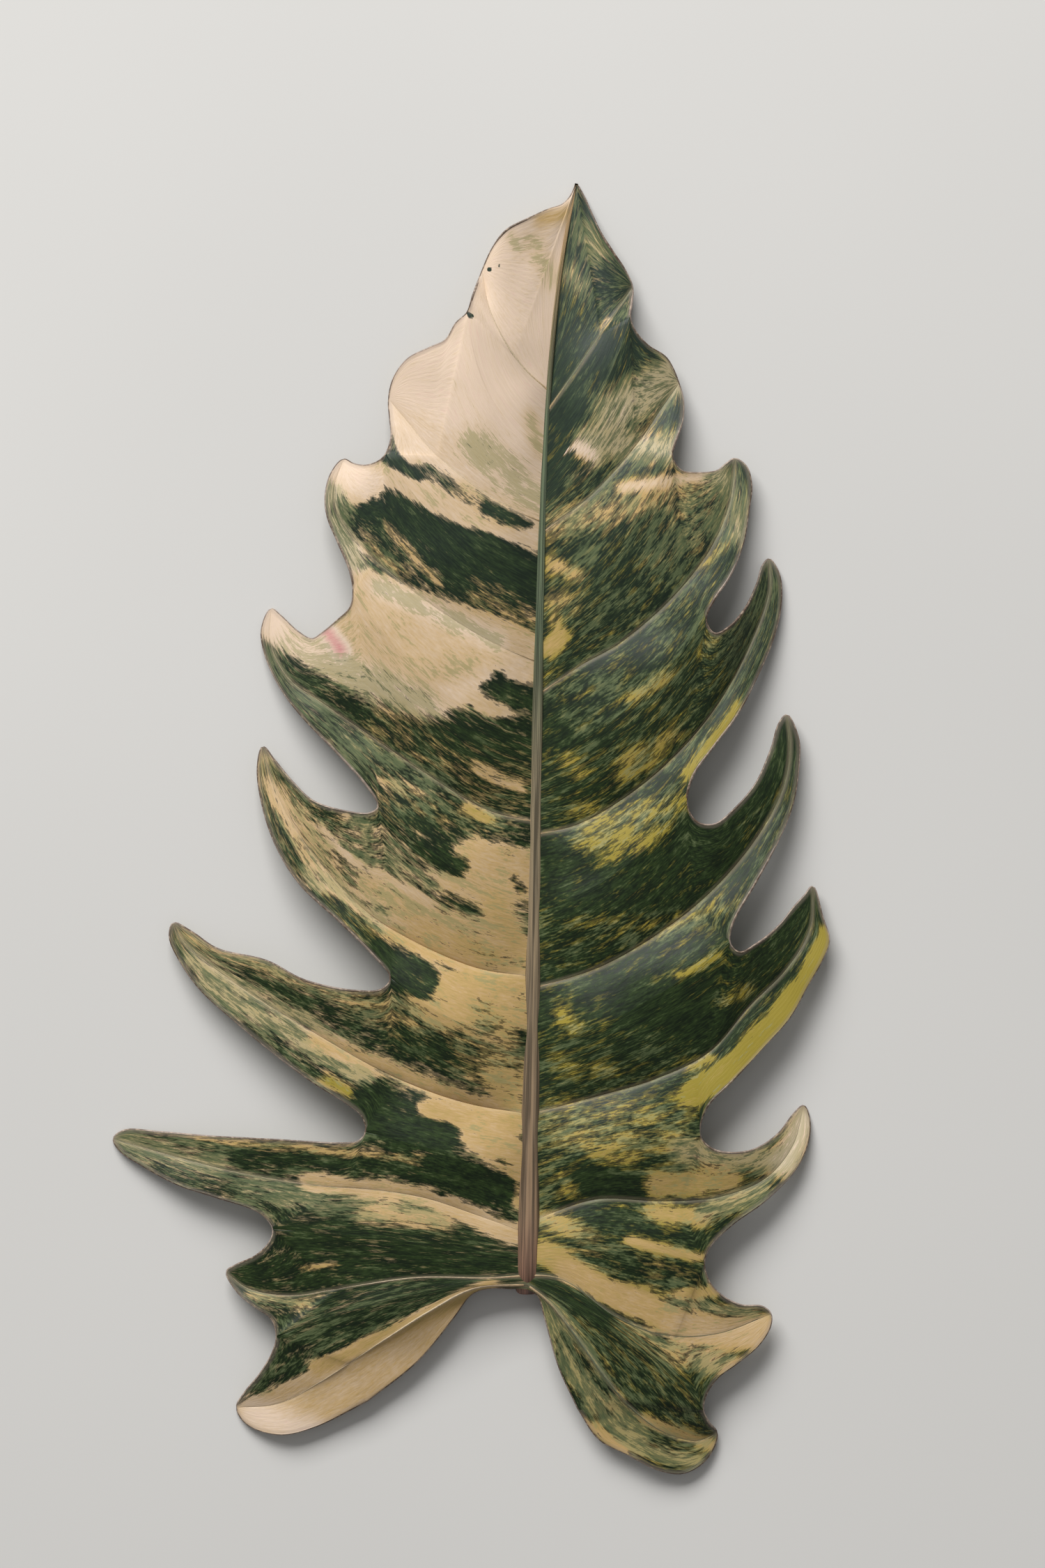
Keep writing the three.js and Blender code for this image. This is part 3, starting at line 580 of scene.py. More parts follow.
def fold_to_notch(below, above, lobe):
    root = midrib_plan(lobe.gap)
    notch = np.array(lobe.notch, float)
    heading = below.heading + above.heading
    bend = root + heading / np.linalg.norm(heading) * np.linalg.norm(notch - root) / 2
    t = np.linspace(0, 1, LINE_STEPS + 1)[:, None]
    line = PacedLine((1 - t) ** 2 * root + 2 * t * (1 - t) * bend + t**2 * notch)
    low = rib_height(lobe.gap)

    def height(along):
        bulge = np.sin(FOLD_BULGE * along**FOLD_BULGE_SKEW) / math.sin(FOLD_BULGE)
        return low * (1 - along) + lobe.crest * bulge

    return Fold(line.at, height)


def fold_up_midrib(gap):
    def y_at(along):
        return gap + (APEX_Y - gap) * along

    return Fold(lambda along: midrib_plan(y_at(along)), lambda along: rib_height(y_at(along)))


class Panel:
    """Half a lobe: the blade between the lobe's vein and the edge on one side of it.

    `along` is 0 at the midrib and 1 at the tip, `across` is 0 on the vein and 1 on the edge, which
    runs up the fold to the notch and then round the margin to the tip.
    """

    def __init__(self, lobe, place, is_upper, vein, foot, margin):
        self.lobe = lobe
        self.place = place
        self.is_upper = is_upper
        self.vein = vein
        self.foot = foot
        self.margin = margin
        self.fold = None

    def row_share(self, step):
        """Rows are even up to the notch, and after it crowd a little to the notch and to the tip."""
        row = np.asarray(step) * (BODY_ROWS + FINGER_ROWS)
        finger = np.clip((row - BODY_ROWS) / FINGER_ROWS, 0, 1)
        body = self.foot * np.minimum(row / BODY_ROWS, 1)
        crowded = finger + ROW_CROWDING * ((1 - np.cos(np.pi * finger)) / 2 - finger)
        return body + (1 - self.foot) * crowded

    def on_margin(self, along):
        return np.clip((along - self.foot) / (1 - self.foot), 0, 1)

    def on_fold(self, along):
        return np.clip(along / self.foot, 0, 1)

    def edge_plan(self, along):
        beyond = (along > self.foot)[:, None]
        return np.where(beyond, self.margin.at(self.on_margin(along)), self.fold.plan(self.on_fold(along)))

    def plan(self, across, along):
        start = self.vein.at(along)
        return start + (self.edge_plan(along) - start) * across[:, None]

    def vein_height(self, along):
        arch = VEIN_ARCH * np.sin(np.pi * along**VEIN_ARCH_SKEW)
        rooted = rib_height(self.lobe.root) * (1 - along) ** VEIN_ROOT_FALL
        return rooted + arch + self.lobe.lift * along**2

    def edge_height(self, along):
        share = self.on_margin(along)
        above_vein = self.fold.height(1.0) - self.vein_height(self.foot)
        channel = FINGER_CHANNEL * np.sin(np.pi * share)
        finger = self.vein_height(along) + above_vein * (1 - eased(0, FINGER_LEVEL_AT, share)) + channel
        return np.where(along > self.foot, finger, self.fold.height(self.on_fold(along)))

    def height(self, across, along):
        swell = np.sin(np.pi / 2 * across) ** SWELL_POWER
        low = self.vein_height(along)
        return low + (self.edge_height(along) - low) * swell


def panels_of(start, lobes):
    """Two panels for each lobe, one below its vein and one above, from the stalk to the point."""
    points = [start.point]
    tips = []
    notches = [0]
    for lobe in lobes:
        points += [*lobe.lower, lobe.tip]
        tips.append(len(points) - 1)
        points += [*lobe.upper, lobe.notch or tuple(midrib_plan(APEX_Y))]
        notches.append(len(points) - 1)
    panels = []
    for k, lobe in enumerate(lobes):
        vein = paced([midrib_plan(lobe.root), *lobe.vein, lobe.tip])
        gaps = [lobes[k - 1].gap if k else BASE_Y, lobe.gap]
        margins = []
        for half, rounding in enumerate((-TIP_ROUND, TIP_ROUND)):
            places = np.linspace(notches[k + half], tips[k] + rounding, 4 * LINE_STEPS)
            margins.append(PacedLine(smooth_line(points, places)))
        chords = [np.linalg.norm(m.samples[0] - midrib_plan(gap)) for m, gap in zip(margins, gaps)]
        foot = lobe.foot or min(FOOT_LIMIT, FOOT_SHARE * sum(chords) / 2 / vein.length)
        panels += [Panel(lobe, k, half == 1, vein, foot, margins[half]) for half in (0, 1)]
    panels[0].fold = fold_beside_stalk(start)
    panels[-1].fold = fold_up_midrib(lobes[-1].gap)
    for below, above in zip(panels[1:-1:2], panels[2::2]):
        below.fold = above.fold = fold_to_notch(below.vein, above.vein, below.lobe)
    return panels


RIPPLE_SPAN = 14
RIPPLE_SEED = Vector((3.7, 1.9, 8.4))


def ripple_at(plan, depth):
    """Small natural unevenness of the blade, in millimetres, by the place in plan."""
    return np.array([
        depth * noise.noise(Vector((x / RIPPLE_SPAN, y / RIPPLE_SPAN, 0)) + RIPPLE_SEED) for x, y in plan
    ])


def brushed(marks, ground, plan):
    """The cream, sage and tint values at each place in plan, after every mark is laid on."""
    values = {name: np.full(len(plan), value, float) for name, value in ground.items()}
    for mark in (Mark(*row) for row in marks):
        start = np.array((mark.from_x, mark.from_y), float)
        span = np.array((mark.to_x, mark.to_y), float) - start
        share = np.clip((plan - start) @ span / (span @ span), 0, 1)
        distance = np.linalg.norm(plan - start - share[:, None] * span, axis=1)
        cover = 1 - eased(mark.reach - mark.soft, mark.reach + mark.soft, distance)
        for name in values:
            aim = getattr(mark, name)
            if aim is not None:
                values[name] += (aim - values[name]) * cover
    return values


def finish_piece(name, bm, materials):
    """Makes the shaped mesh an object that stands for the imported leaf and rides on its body."""
    mesh = bpy.data.meshes.new(name)
    bm.to_mesh(mesh)
    bm.free()
    mesh.shade_smooth()
    for material in materials:
        mesh.materials.append(material)
    piece = bpy.data.objects.new(name, mesh)
    bpy.context.scene.collection.objects.link(piece)
    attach(piece, BODY)
    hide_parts(NODE)
    return piece


def add_panel(bm, panel, shape, layers):
    """One panel of the blade's upper face, with its grain map and its distances from vein and margin."""
    rows = BODY_ROWS + FINGER_ROWS
    verts = bmesh.ops.create_grid(bm, x_segments=COLUMNS, y_segments=rows, size=0.5)["verts"]
    steps = np.array([v.co[:2] for v in verts]) + 0.5
    across = (1 - np.cos(np.pi * np.clip(steps[:, 0], 0, 1))) / 2
    along = panel.row_share(np.clip(steps[:, 1], 0, 1))
    plan = panel.plan(across, along)
    height = panel.height(across, along) + shape.thickness / MM
    width = np.linalg.norm(panel.edge_plan(along) - panel.vein.at(along), axis=1)
    side = 1 if panel.is_upper else -1
    grain_across = side * across * width.mean() / GRAIN_UNIT + LOBE_SHIFT * panel.place
    grain_along = along * panel.vein.length / GRAIN_UNIT
    to_margin = np.where(along > panel.foot, (1 - across) * width, FAR_FROM_MARGIN)
    near_notch = np.abs(along - panel.foot) * panel.vein.length < NOTCH_SMOOTHING_REACH
    grain, reach, held = layers
    for k, v in enumerate(verts):
        v.co = Vector((*plan[k], height[k])) * MM
        v[held] = ON_VEIN if across[k] < WELD else NEAR_NOTCH if near_notch[k] else 0
        for loop in v.link_loops:
            loop[grain].uv = grain_along[k], grain_across[k]
            loop[reach].uv = across[k] * width[k] / GRAIN_UNIT, to_margin[k] / GRAIN_UNIT


def half_blade(name, panels, marks, ground, shape, materials):
    """Half of the blade as one closed sheet, with its markings kept on its points."""
    bm = bmesh.new()
    layers = (
        bm.loops.layers.uv.new("Grain"),
        bm.loops.layers.uv.new("Reach"),
        bm.verts.layers.int.new("held"),
    )
    for panel in panels:
        add_panel(bm, panel, shape, layers)
    bmesh.ops.remove_doubles(bm, verts=bm.verts, dist=WELD)
    held = layers[2]
    free = [v for v in bm.verts if not v.is_boundary and v[held] != ON_VEIN]
    near_notches = [v for v in free if v[held] == NEAR_NOTCH]
    for verts, passes in ((near_notches, NOTCH_SMOOTHING_PASSES), (free, SMOOTHING_PASSES)):
        for _ in range(passes):
            bmesh.ops.smooth_vert(bm, verts=verts, factor=0.5, use_axis_z=True)
    plan = np.array([v.co[:2] for v in bm.verts]) / MM
    for v, rise in zip(bm.verts, ripple_at(plan, shape.ripple / MM)):
        v.co.z = max(v.co.z + rise * MM, shape.thickness)
    made = bmesh.ops.extrude_face_region(bm, geom=bm.faces[:], use_keep_orig=True)["geom"]
    under = [item for item in made if isinstance(item, bmesh.types.BMVert)]
    for item in made:
        if isinstance(item, bmesh.types.BMFace):
            item.material_index = 1
    bmesh.ops.translate(bm, verts=under, vec=(0, 0, -shape.thickness))
    bmesh.ops.recalc_face_normals(bm, faces=bm.faces)
    for edge in bm.edges:
        edge.smooth = edge.calc_face_angle(0) < SHARP_ANGLE
    bm.verts.layers.int.remove(bm.verts.layers.int["held"])
    piece = finish_piece(name, bm, materials)
    places = np.empty(len(piece.data.vertices) * 3, np.float32)
    piece.data.vertices.foreach_get("co", places)
    plan = places.reshape(-1, 3)[:, :2].astype(float) / MM
    for key, values in brushed(marks, ground, plan).items():
        layer = piece.data.attributes.new(key, "FLOAT", "POINT")
        layer.data.foreach_set("value", values.astype(np.float32))
    return piece


def bent(value, power):
    return math.copysign(abs(value) ** power, value)


def add_rod(bm, centres, half_widths, half_depths, sides, grain, squareness=1):
    """A rod bent along `centres` in millimetres, of the given half sizes, closed where they are 0."""
    last = len(centres) - 1
    forward = np.gradient(centres, axis=0)
    forward /= np.linalg.norm(forward, axis=1, keepdims=True)
    level = np.stack([forward[:, 1], -forward[:, 0], np.zeros(last + 1)], axis=1)
    flat_run = np.linalg.norm(level, axis=1, keepdims=True)
    level = np.where(flat_run > LEVEL_ENOUGH, level / np.maximum(flat_run, TINY), [1, 0, 0])
    upward = np.cross(level, forward)
    verts = bmesh.ops.create_grid(bm, x_segments=sides, y_segments=last, size=0.5)["verts"]
    for v in verts:
        around, station = v.co.x + 0.5, round((v.co.y + 0.5) * last)
        angle = 2 * math.pi * around
        offset = level[station] * (half_widths[station] * bent(math.sin(angle), squareness))
        offset = offset + upward[station] * (-half_depths[station] * bent(math.cos(angle), squareness))
        for loop in v.link_loops:
            loop[grain].uv = around, station / last
        v.co = Vector(centres[station] + offset) * MM
    return {face for v in verts for face in v.link_faces}


def close_rods(bm):
    bmesh.ops.remove_doubles(bm, verts=bm.verts, dist=WELD)
    bmesh.ops.dissolve_degenerate(bm, edges=bm.edges, dist=WELD / 10)
    bmesh.ops.recalc_face_normals(bm, faces=bm.faces)


class Nodes:
    """Adds nodes to a material's tree and wires them, a line at a time."""

    def __init__(self, name):
        self.material = bpy.data.materials.new(name)
        self.material.use_nodes = True
        self.tree = self.material.node_tree
        self.shader = self.tree.nodes["Principled BSDF"]

    def add(self, kind, inputs=None, **settings):
        made = self.tree.nodes.new(kind)
        for key, value in settings.items():
            setattr(made, key, value)
        for key, value in (inputs or {}).items():
            self.feed(made.inputs[key], value)
        return made

    def feed(self, socket, value):
        if isinstance(value, bpy.types.NodeSocket):
            self.tree.links.new(value, socket)
        else:
            socket.default_value = value

    def math(self, operation, first, second=0.0, clamp=False):
        made = self.add("ShaderNodeMath", {0: first, 1: second}, operation=operation, use_clamp=clamp)
        return made.outputs[0]

    def scaled(self, value, factor, offset):
        inputs = {0: value, 1: factor, 2: offset}
        return self.add("ShaderNodeMath", inputs, operation="MULTIPLY_ADD").outputs[0]

    def weighted(self, first, first_weight, second, second_weight):
        weighed = self.math("MULTIPLY", second, second_weight)
        return self.scaled(first, first_weight, weighed)

    def within(self, value, low, high):
        """1 below `low`, fading to 0 at `high`."""
        return self.math("SUBTRACT", 1.0, self.between(value, low, high))

    def part_mix(self, mask, share, first, second):
        return self.mix(self.math("MULTIPLY", mask, share), first, second)

    def streaks(self, vector, scale, shift, detail):
        """Noise drawn out along the grain, about 0, by features counted to each tenth of a metre."""
        placed = self.add("ShaderNodeMapping", {"Vector": vector, "Location": shift, "Scale": scale})
        inputs = {"Vector": placed.outputs[0], "Scale": 1.0, "Detail": detail, "Roughness": STREAK_ROUGHNESS}
        made = self.add("ShaderNodeTexNoise", inputs, noise_dimensions="2D")
        return self.math("SUBTRACT", made.outputs[0], 0.5)

    def between(self, value, low, high):
        made = self.add("ShaderNodeMapRange", {"Value": value, "From Min": low, "From Max": high},
                        interpolation_type="SMOOTHSTEP")
        return made.outputs[0]

    def mix(self, share, first, second, blend="MIX"):
        made = self.add("ShaderNodeMix", {"Factor": share}, data_type="RGBA", blend_type=blend)
        for key, value in (("A", first), ("B", second)):
            socket = next(s for s in made.inputs if s.name == key and s.type == "RGBA")
            self.feed(socket, value if isinstance(value, bpy.types.NodeSocket) else (*value, 1))
        return next(s for s in made.outputs if s.type == "RGBA")

    def ramp(self, value, stops):
        made = self.add("ShaderNodeValToRGB", {"Fac": value})
        elements = made.color_ramp.elements
        while len(elements) < len(stops):
            elements.new(0.5)
        for element, (place, colour) in zip(elements, stops):
            element.position = place
            element.color = (*colour, 1)
        return made.outputs["Color"]

    def bump(self, height, distance, strength):
        made = self.add("ShaderNodeBump", {"Height": height, "Distance": distance, "Strength": strength})
        self.feed(self.shader.inputs["Normal"], made.outputs[0])

    def finish(self, colour, roughness, **sockets):
        self.feed(self.shader.inputs["Base Color"], colour)
        self.feed(self.shader.inputs["Roughness"], roughness)
        for key, value in sockets.items():
            self.shader.inputs[key.replace("_", " ")].default_value = value
        return self.material


# Streaks in the skin, counted to each tenth of a metre along and across the grain.
PATCH_STREAKS = (12, 66, 1)
FLECK_STREAKS = (42, 270, 1)
BROAD_STREAKS = (10, 44, 1)
THREAD_STREAKS = (14, 330, 1)

# How far the streaks move the borders of the cream and sage tissue, and where each border fades.
PATCH_RAGGEDNESS = 3.0
FLECK_RAGGEDNESS = 2.0
BROAD_MOTTLE = 2.6
FLECK_MOTTLE = 1.6
BROAD_TINT = 0.3
FLECK_TINT = 0.4
SAGE_GAIN = 1.7
SAGE_MIDDLE = 0.85
CREAM_BORDER = (-0.1, 0.1)
HALF_CREAM_BORDER = (-0.8, -0.15)
SAGE_BORDER = (-0.35, 0.35)
PALE_STREAK_BORDER = (-0.12, 0.16)
DEEP_GREEN_BORDER = (-0.25, 0.3)
NOISE_SPAN = (-0.3, 0.3)
RIB_LINE_SPAN = (-0.24, 0.24)

# The greatest share of each colour that is laid over the one before it, and where it is laid.
# Painted sheen: a blue-green cast, standing in for sky light reflected off the glossy skin, is laid over the
# green from the leaf's middle up toward its point.
SHEEN_BLUE_SHARE = 0.55
SHEEN_BLUE_SPAN = (0.0, 0.16)
SAGE_SHARE = 0.75
PALE_SAGE_SHARE = 0.55
HALF_CREAM_SHARE = 0.32
VEIN_SHARE = 0.18
BESIDE_VEIN = (0.002, 0.014)
RIM_SHARE = 0.3
AT_RIM = (0.004, 0.014)
BLOOM_SHARE = 0.5
RIM_FLECK_SHARE = 0.35
RIM_WORN_SPAN = (0.4, 0.62)
RIM_FLECK_SPAN = (0.45, 0.7)

# Fine parallel veins in the skin's relief, and how glossy each skin is.
FINE_VEIN_WAVES = {"Scale": 24.0, "Distortion": 2.5, "Detail": 1.0, "Detail Scale": 1.5}
FINE_VEIN_RELIEF = 0.16
FLECK_RELIEF = 0.5
SKIN_ROUGHNESS = (0.4, 0.54)
UNDER_ROUGHER = 0.2
SKIN_SPECULAR = 0.26
STEM_SPECULAR = 0.4


def skin_material(name, finish, is_under):
    """The blade's skin: green, half-green and cream tissue in streaks that follow the veins, with painted
    sheen: a blue-green cast up the leaf and some grey-green patches laid in as sage.
    """
    n = Nodes(name)
    grain = n.add("ShaderNodeUVMap", uv_map="Grain").outputs[0]
    reach = n.add("ShaderNodeUVMap", uv_map="Reach").outputs[0]
    reach = n.add("ShaderNodeSeparateXYZ", {0: reach}).outputs
    cream, sage_and_sheen, tint = (
        n.add("ShaderNodeAttribute", attribute_name=key).outputs["Fac"] for key in ("cream", "sage_and_sheen", "tint")
    )
    patches = n.streaks(grain, PATCH_STREAKS, (0.3, 0.1, 0), 5.0)
    flecks = n.streaks(grain, FLECK_STREAKS, (4.1, 2.7, 0), 3.0)
    broad = n.streaks(grain, BROAD_STREAKS, (7.3, 9.2, 0), 5.0)
    threads = n.between(n.streaks(grain, THREAD_STREAKS, (1.6, 5.5, 0), 1.5), *NOISE_SPAN)
    level = n.math("ADD", cream, n.weighted(patches, PATCH_RAGGEDNESS, flecks, FLECK_RAGGEDNESS))
    mottle = n.weighted(broad, BROAD_MOTTLE, flecks, FLECK_MOTTLE)
    sage_and_sheen_level = n.math("ADD", n.scaled(sage_and_sheen, SAGE_GAIN, -SAGE_MIDDLE), mottle)

    lighter = n.between(n.math("ADD", broad, flecks), *DEEP_GREEN_BORDER)
    green = n.mix(lighter, finish.deep_green, finish.green)
    place = n.add("ShaderNodeTexCoord").outputs["Object"]
    up_leaf = n.add("ShaderNodeSeparateXYZ", {0: place}).outputs[1]
    # Painted sheen: the upper part of the leaf turns blue-green, like sky light glancing off the glossy
    # skin.
    green = n.part_mix(n.between(up_leaf, *SHEEN_BLUE_SPAN), SHEEN_BLUE_SHARE, green, finish.sheen_blue_green)
    # Half-green streaks turn the green toward sage; where a mark lays them as painted sheen, this is light
    # glancing off the skin painted in.
    green = n.part_mix(n.between(sage_and_sheen_level, *SAGE_BORDER), SAGE_SHARE, green, finish.sage_and_sheen)
    shade = n.ramp(threads, [(0, (0.82, 0.82, 0.82)), (1, (1.1, 1.1, 1.1))])
    green = n.mix(1.0, green, shade, "MULTIPLY")

    turned = n.math("ADD", tint, n.weighted(broad, BROAD_TINT, flecks, FLECK_TINT))
    stops = [(0.05, finish.blush), (0.5, finish.cream), (0.75, finish.tan), (0.95, finish.yellow)]
    pale = n.ramp(n.scaled(turned, 0.5, 0.5), stops)
    pale_streaks = n.between(sage_and_sheen_level, *PALE_STREAK_BORDER)
    pale = n.part_mix(pale_streaks, PALE_SAGE_SHARE, pale, finish.pale_sage)
    pale_shade = n.ramp(threads, [(0, (0.95, 0.95, 0.94)), (1, (1.03, 1.03, 1.03))])
    pale = n.mix(1.0, pale, pale_shade, "MULTIPLY")

    colour = n.part_mix(n.between(level, *HALF_CREAM_BORDER), HALF_CREAM_SHARE, green, pale)
    colour = n.mix(n.between(level, *CREAM_BORDER), colour, pale)
    colour = n.part_mix(n.within(reach[0], *BESIDE_VEIN), VEIN_SHARE, colour, finish.vein)
    colour = n.part_mix(n.within(reach[1], *AT_RIM), RIM_SHARE, colour, finish.rim)
    if is_under:
        colour = n.mix(BLOOM_SHARE, colour, finish.underside)
    waves = n.add("ShaderNodeTexWave", {"Vector": grain, **FINE_VEIN_WAVES}, bands_direction="Y")
    relief = n.weighted(waves.outputs["Fac"], FINE_VEIN_RELIEF, flecks, FLECK_RELIEF)
    n.bump(relief, 0.2 * MM, 0.4)
    low, high = (value + UNDER_ROUGHER * is_under for value in SKIN_ROUGHNESS)
    span = {"Value": flecks, "From Min": NOISE_SPAN[0], "From Max": NOISE_SPAN[1]}
    gloss = n.add("ShaderNodeMapRange", {**span, "To Min": low, "To Max": high})
    return n.finish(colour, gloss.outputs[0], Specular_IOR_Level=SKIN_SPECULAR)


def rib_material(name, finish):
    """The midrib's skin: fine pale and dark lines along it, pinker to the stalk."""
    n = Nodes(name)
    around = n.add("ShaderNodeUVMap", uv_map="Grain").outputs[0]
    along = n.add("ShaderNodeSeparateXYZ", {0: around}).outputs[1]
    lines = n.streaks(around, (64, 9, 1), (0.2, 0.4, 0), 3.0)
    broad = n.streaks(around, (22, 5, 1), (3.2, 1.4, 0), 2.0)
    stops = [
        (0.03, finish.rib_foot), (0.14, finish.rib_low), (0.5, finish.rib_middle),
        (0.62, finish.rib_green), (0.8, finish.rib_green), (0.95, finish.rib_tip),
    ]
    shades = [(0, (0.42, 0.42, 0.4)), (0.5, (0.95, 0.95, 0.95)), (1, (1.5, 1.46, 1.4))]
    shade = n.ramp(n.between(n.math("ADD", lines, broad), *RIB_LINE_SPAN), shades)
    colour = n.mix(1.0, n.ramp(along, stops), shade, "MULTIPLY")
    n.bump(lines, 0.4 * MM, 0.6)
    return n.finish(colour, n.scaled(lines, 0.25, 0.5), Specular_IOR_Level=STEM_SPECULAR)


def vein_material(name, finish, tone):
    """The side veins: pink-brown at the midrib, then the tone of their half of the blade."""
    n = Nodes(name)
    around = n.add("ShaderNodeUVMap", uv_map="Grain").outputs[0]
    along = n.add("ShaderNodeSeparateXYZ", {0: around}).outputs[1]
    lines = n.streaks(around, (9, 60, 1), (0.7, 0.2, 0), 3.0)
    shades = [(0, (0.7, 0.7, 0.68)), (1, (1.15, 1.15, 1.12))]
    shade = n.ramp(n.between(lines, *NOISE_SPAN), shades)
    colour = n.ramp(along, [(0, finish.vein_root), (0.25, tone), (1, tone)])
    colour = n.mix(1.0, colour, shade, "MULTIPLY")
    n.bump(lines, 0.2 * MM, 0.4)
    return n.finish(colour, n.scaled(lines, 0.25, 0.48), Specular_IOR_Level=STEM_SPECULAR)


def rim_material(name, finish):
    """The leaf's hard thin margin, lilac-brown with paler stretches."""
    n = Nodes(name)
    place = n.add("ShaderNodeTexCoord").outputs["Object"]
    worn = n.add("ShaderNodeTexNoise", {"Vector": place, "Scale": 90.0, "Detail": 3.0}).outputs[0]
    fine = n.add("ShaderNodeTexNoise", {"Vector": place, "Scale": 900.0, "Detail": 2.0}).outputs[0]
    colour = n.mix(n.between(worn, *RIM_WORN_SPAN), finish.rim_brown, finish.rim)
    colour = n.part_mix(n.between(fine, *RIM_FLECK_SPAN), RIM_FLECK_SHARE, colour, finish.cream)
    n.bump(fine, 0.1 * MM, 0.3)
    return n.finish(colour, n.scaled(fine, 0.3, 0.32), Specular_IOR_Level=STEM_SPECULAR)


def colour_prop(name, description, default):
    return bpy.props.FloatVectorProperty(
        name=name, description=description, subtype="COLOR", size=3, min=0, max=1, default=default
    )


def length_prop(name, description, default):
    return bpy.props.FloatProperty(
        name=name, description=description, unit="LENGTH", precision=5, min=0, default=default
    )


class LeafShape(bpy.types.PropertyGroup):
    """Sizes of the leaf's fine parts."""

    thickness: length_prop("Blade thickness", "From the upper face to the underside", 0.8 * MM)
    ripple: length_prop("Ripple", "Height of the blade's natural unevenness", 0.7 * MM)
    vein_half_width: length_prop("Vein half width", "Half the width of a side vein at the midrib", 0.55 * MM)
    vein_tip_half_width: length_prop("Vein tip", "Half the width of a side vein at its tip", 0.12 * MM)
    vein_proud: length_prop("Vein height", "How far a side vein stands above the blade", 0.07 * MM)
    rim_radius: length_prop("Margin radius", "Radius of the bead along the margin", 0.36 * MM)


class LeafFinish(bpy.types.PropertyGroup):
    """Colours of the leaf's tissues."""

    deep_green: colour_prop("Deep green", "Darkest tissue", paint(22, 35, 17))
    # Painted sheen: this blue-green stands in for sky light reflected off the upper part of the leaf.
    sheen_blue_green: colour_prop("Cool green", "Blue-green cast of the leaf's upper part", paint(54, 67, 61))
    green: colour_prop("Green", "Green tissue between the darkest streaks", paint(50, 68, 31))
    # This sage colour serves real half-green streaks and also painted sheen, the grey-green of light
    # glancing off the skin.
    sage_and_sheen: colour_prop("Sage", "Half-green streaks in green tissue", paint(106, 116, 80))
    pale_sage: colour_prop("Pale sage", "Half-green streaks in cream tissue", paint(160, 158, 114))
    cream: colour_prop("Cream", "Cream tissue", paint(232, 208, 184))
    tan: colour_prop("Tan", "Warmer cream tissue", paint(202, 169, 114))
    yellow: colour_prop("Yellow", "Yellowest cream tissue", paint(160, 143, 56))
    blush: colour_prop("Blush", "Pink flush on cream tissue", paint(214, 142, 142))
    vein: colour_prop("Vein", "Side veins on the paler half of the blade", paint(214, 194, 164))
    green_vein: colour_prop("Green vein", "Side veins on the greener half", paint(118, 124, 98))
    vein_root: colour_prop("Vein root", "Side veins near the midrib", paint(190, 160, 122))
    rim: colour_prop("Margin", "Margin of the blade", paint(150, 134, 122))
    rim_brown: colour_prop("Brown margin", "Darker stretches of the margin", paint(96, 78, 64))
    underside: colour_prop("Underside", "Bloom over the underside", paint(126, 132, 104))
    rib_foot: colour_prop("Midrib foot", "Midrib at the stalk", paint(134, 92, 80))
    rib_low: colour_prop("Midrib low", "Midrib along its lower part", paint(128, 106, 84))
    rib_middle: colour_prop("Midrib middle", "Midrib half way up", paint(134, 122, 98))
    rib_green: colour_prop("Midrib upper", "Midrib where it is greenest", paint(98, 110, 86))
    rib_tip: colour_prop("Midrib tip", "Midrib near the point", paint(168, 140, 100))


class LeafStage(bpy.types.PropertyGroup):
    """The floor, lights and camera."""

    floor_colour: colour_prop("Floor", "Colour of the floor", paint(226, 224, 220))
    floor_size: length_prop("Floor size", "Width of the floor", 8.0)
    key_power: bpy.props.FloatProperty(
        name="Key light", description="Power of the large soft light", unit="POWER", default=104.0
    )
    fill_strength: bpy.props.FloatProperty(
        name="Fill", description="Strength of the light from all round", subtype="FACTOR", default=0.22
    )
    lens: bpy.props.FloatProperty(
        name="Lens", description="Focal length of the camera", unit="CAMERA", default=100.0
    )


class LEAF_OT_blade(bpy.types.Operator):
    """Models both halves of the blade with their markings"""

    bl_idname = "leaf.blade"
    bl_label = "Blade"

    def execute(self, context):
        scene = context.scene
        materials = [
            skin_material("leaf_upper_skin", scene.leaf_finish, False),
            skin_material("leaf_under_skin", scene.leaf_finish, True),
        ]
        left, right = panels_of(LEFT_START, LEFT_LOBES), panels_of(RIGHT_START, RIGHT_LOBES)
        half_blade("blade_left", left, LEFT_MARKS, LEFT_GROUND, scene.leaf_shape, materials)
        half_blade("blade_right", right, RIGHT_MARKS, RIGHT_GROUND, scene.leaf_shape, materials)
        return {"FINISHED"}


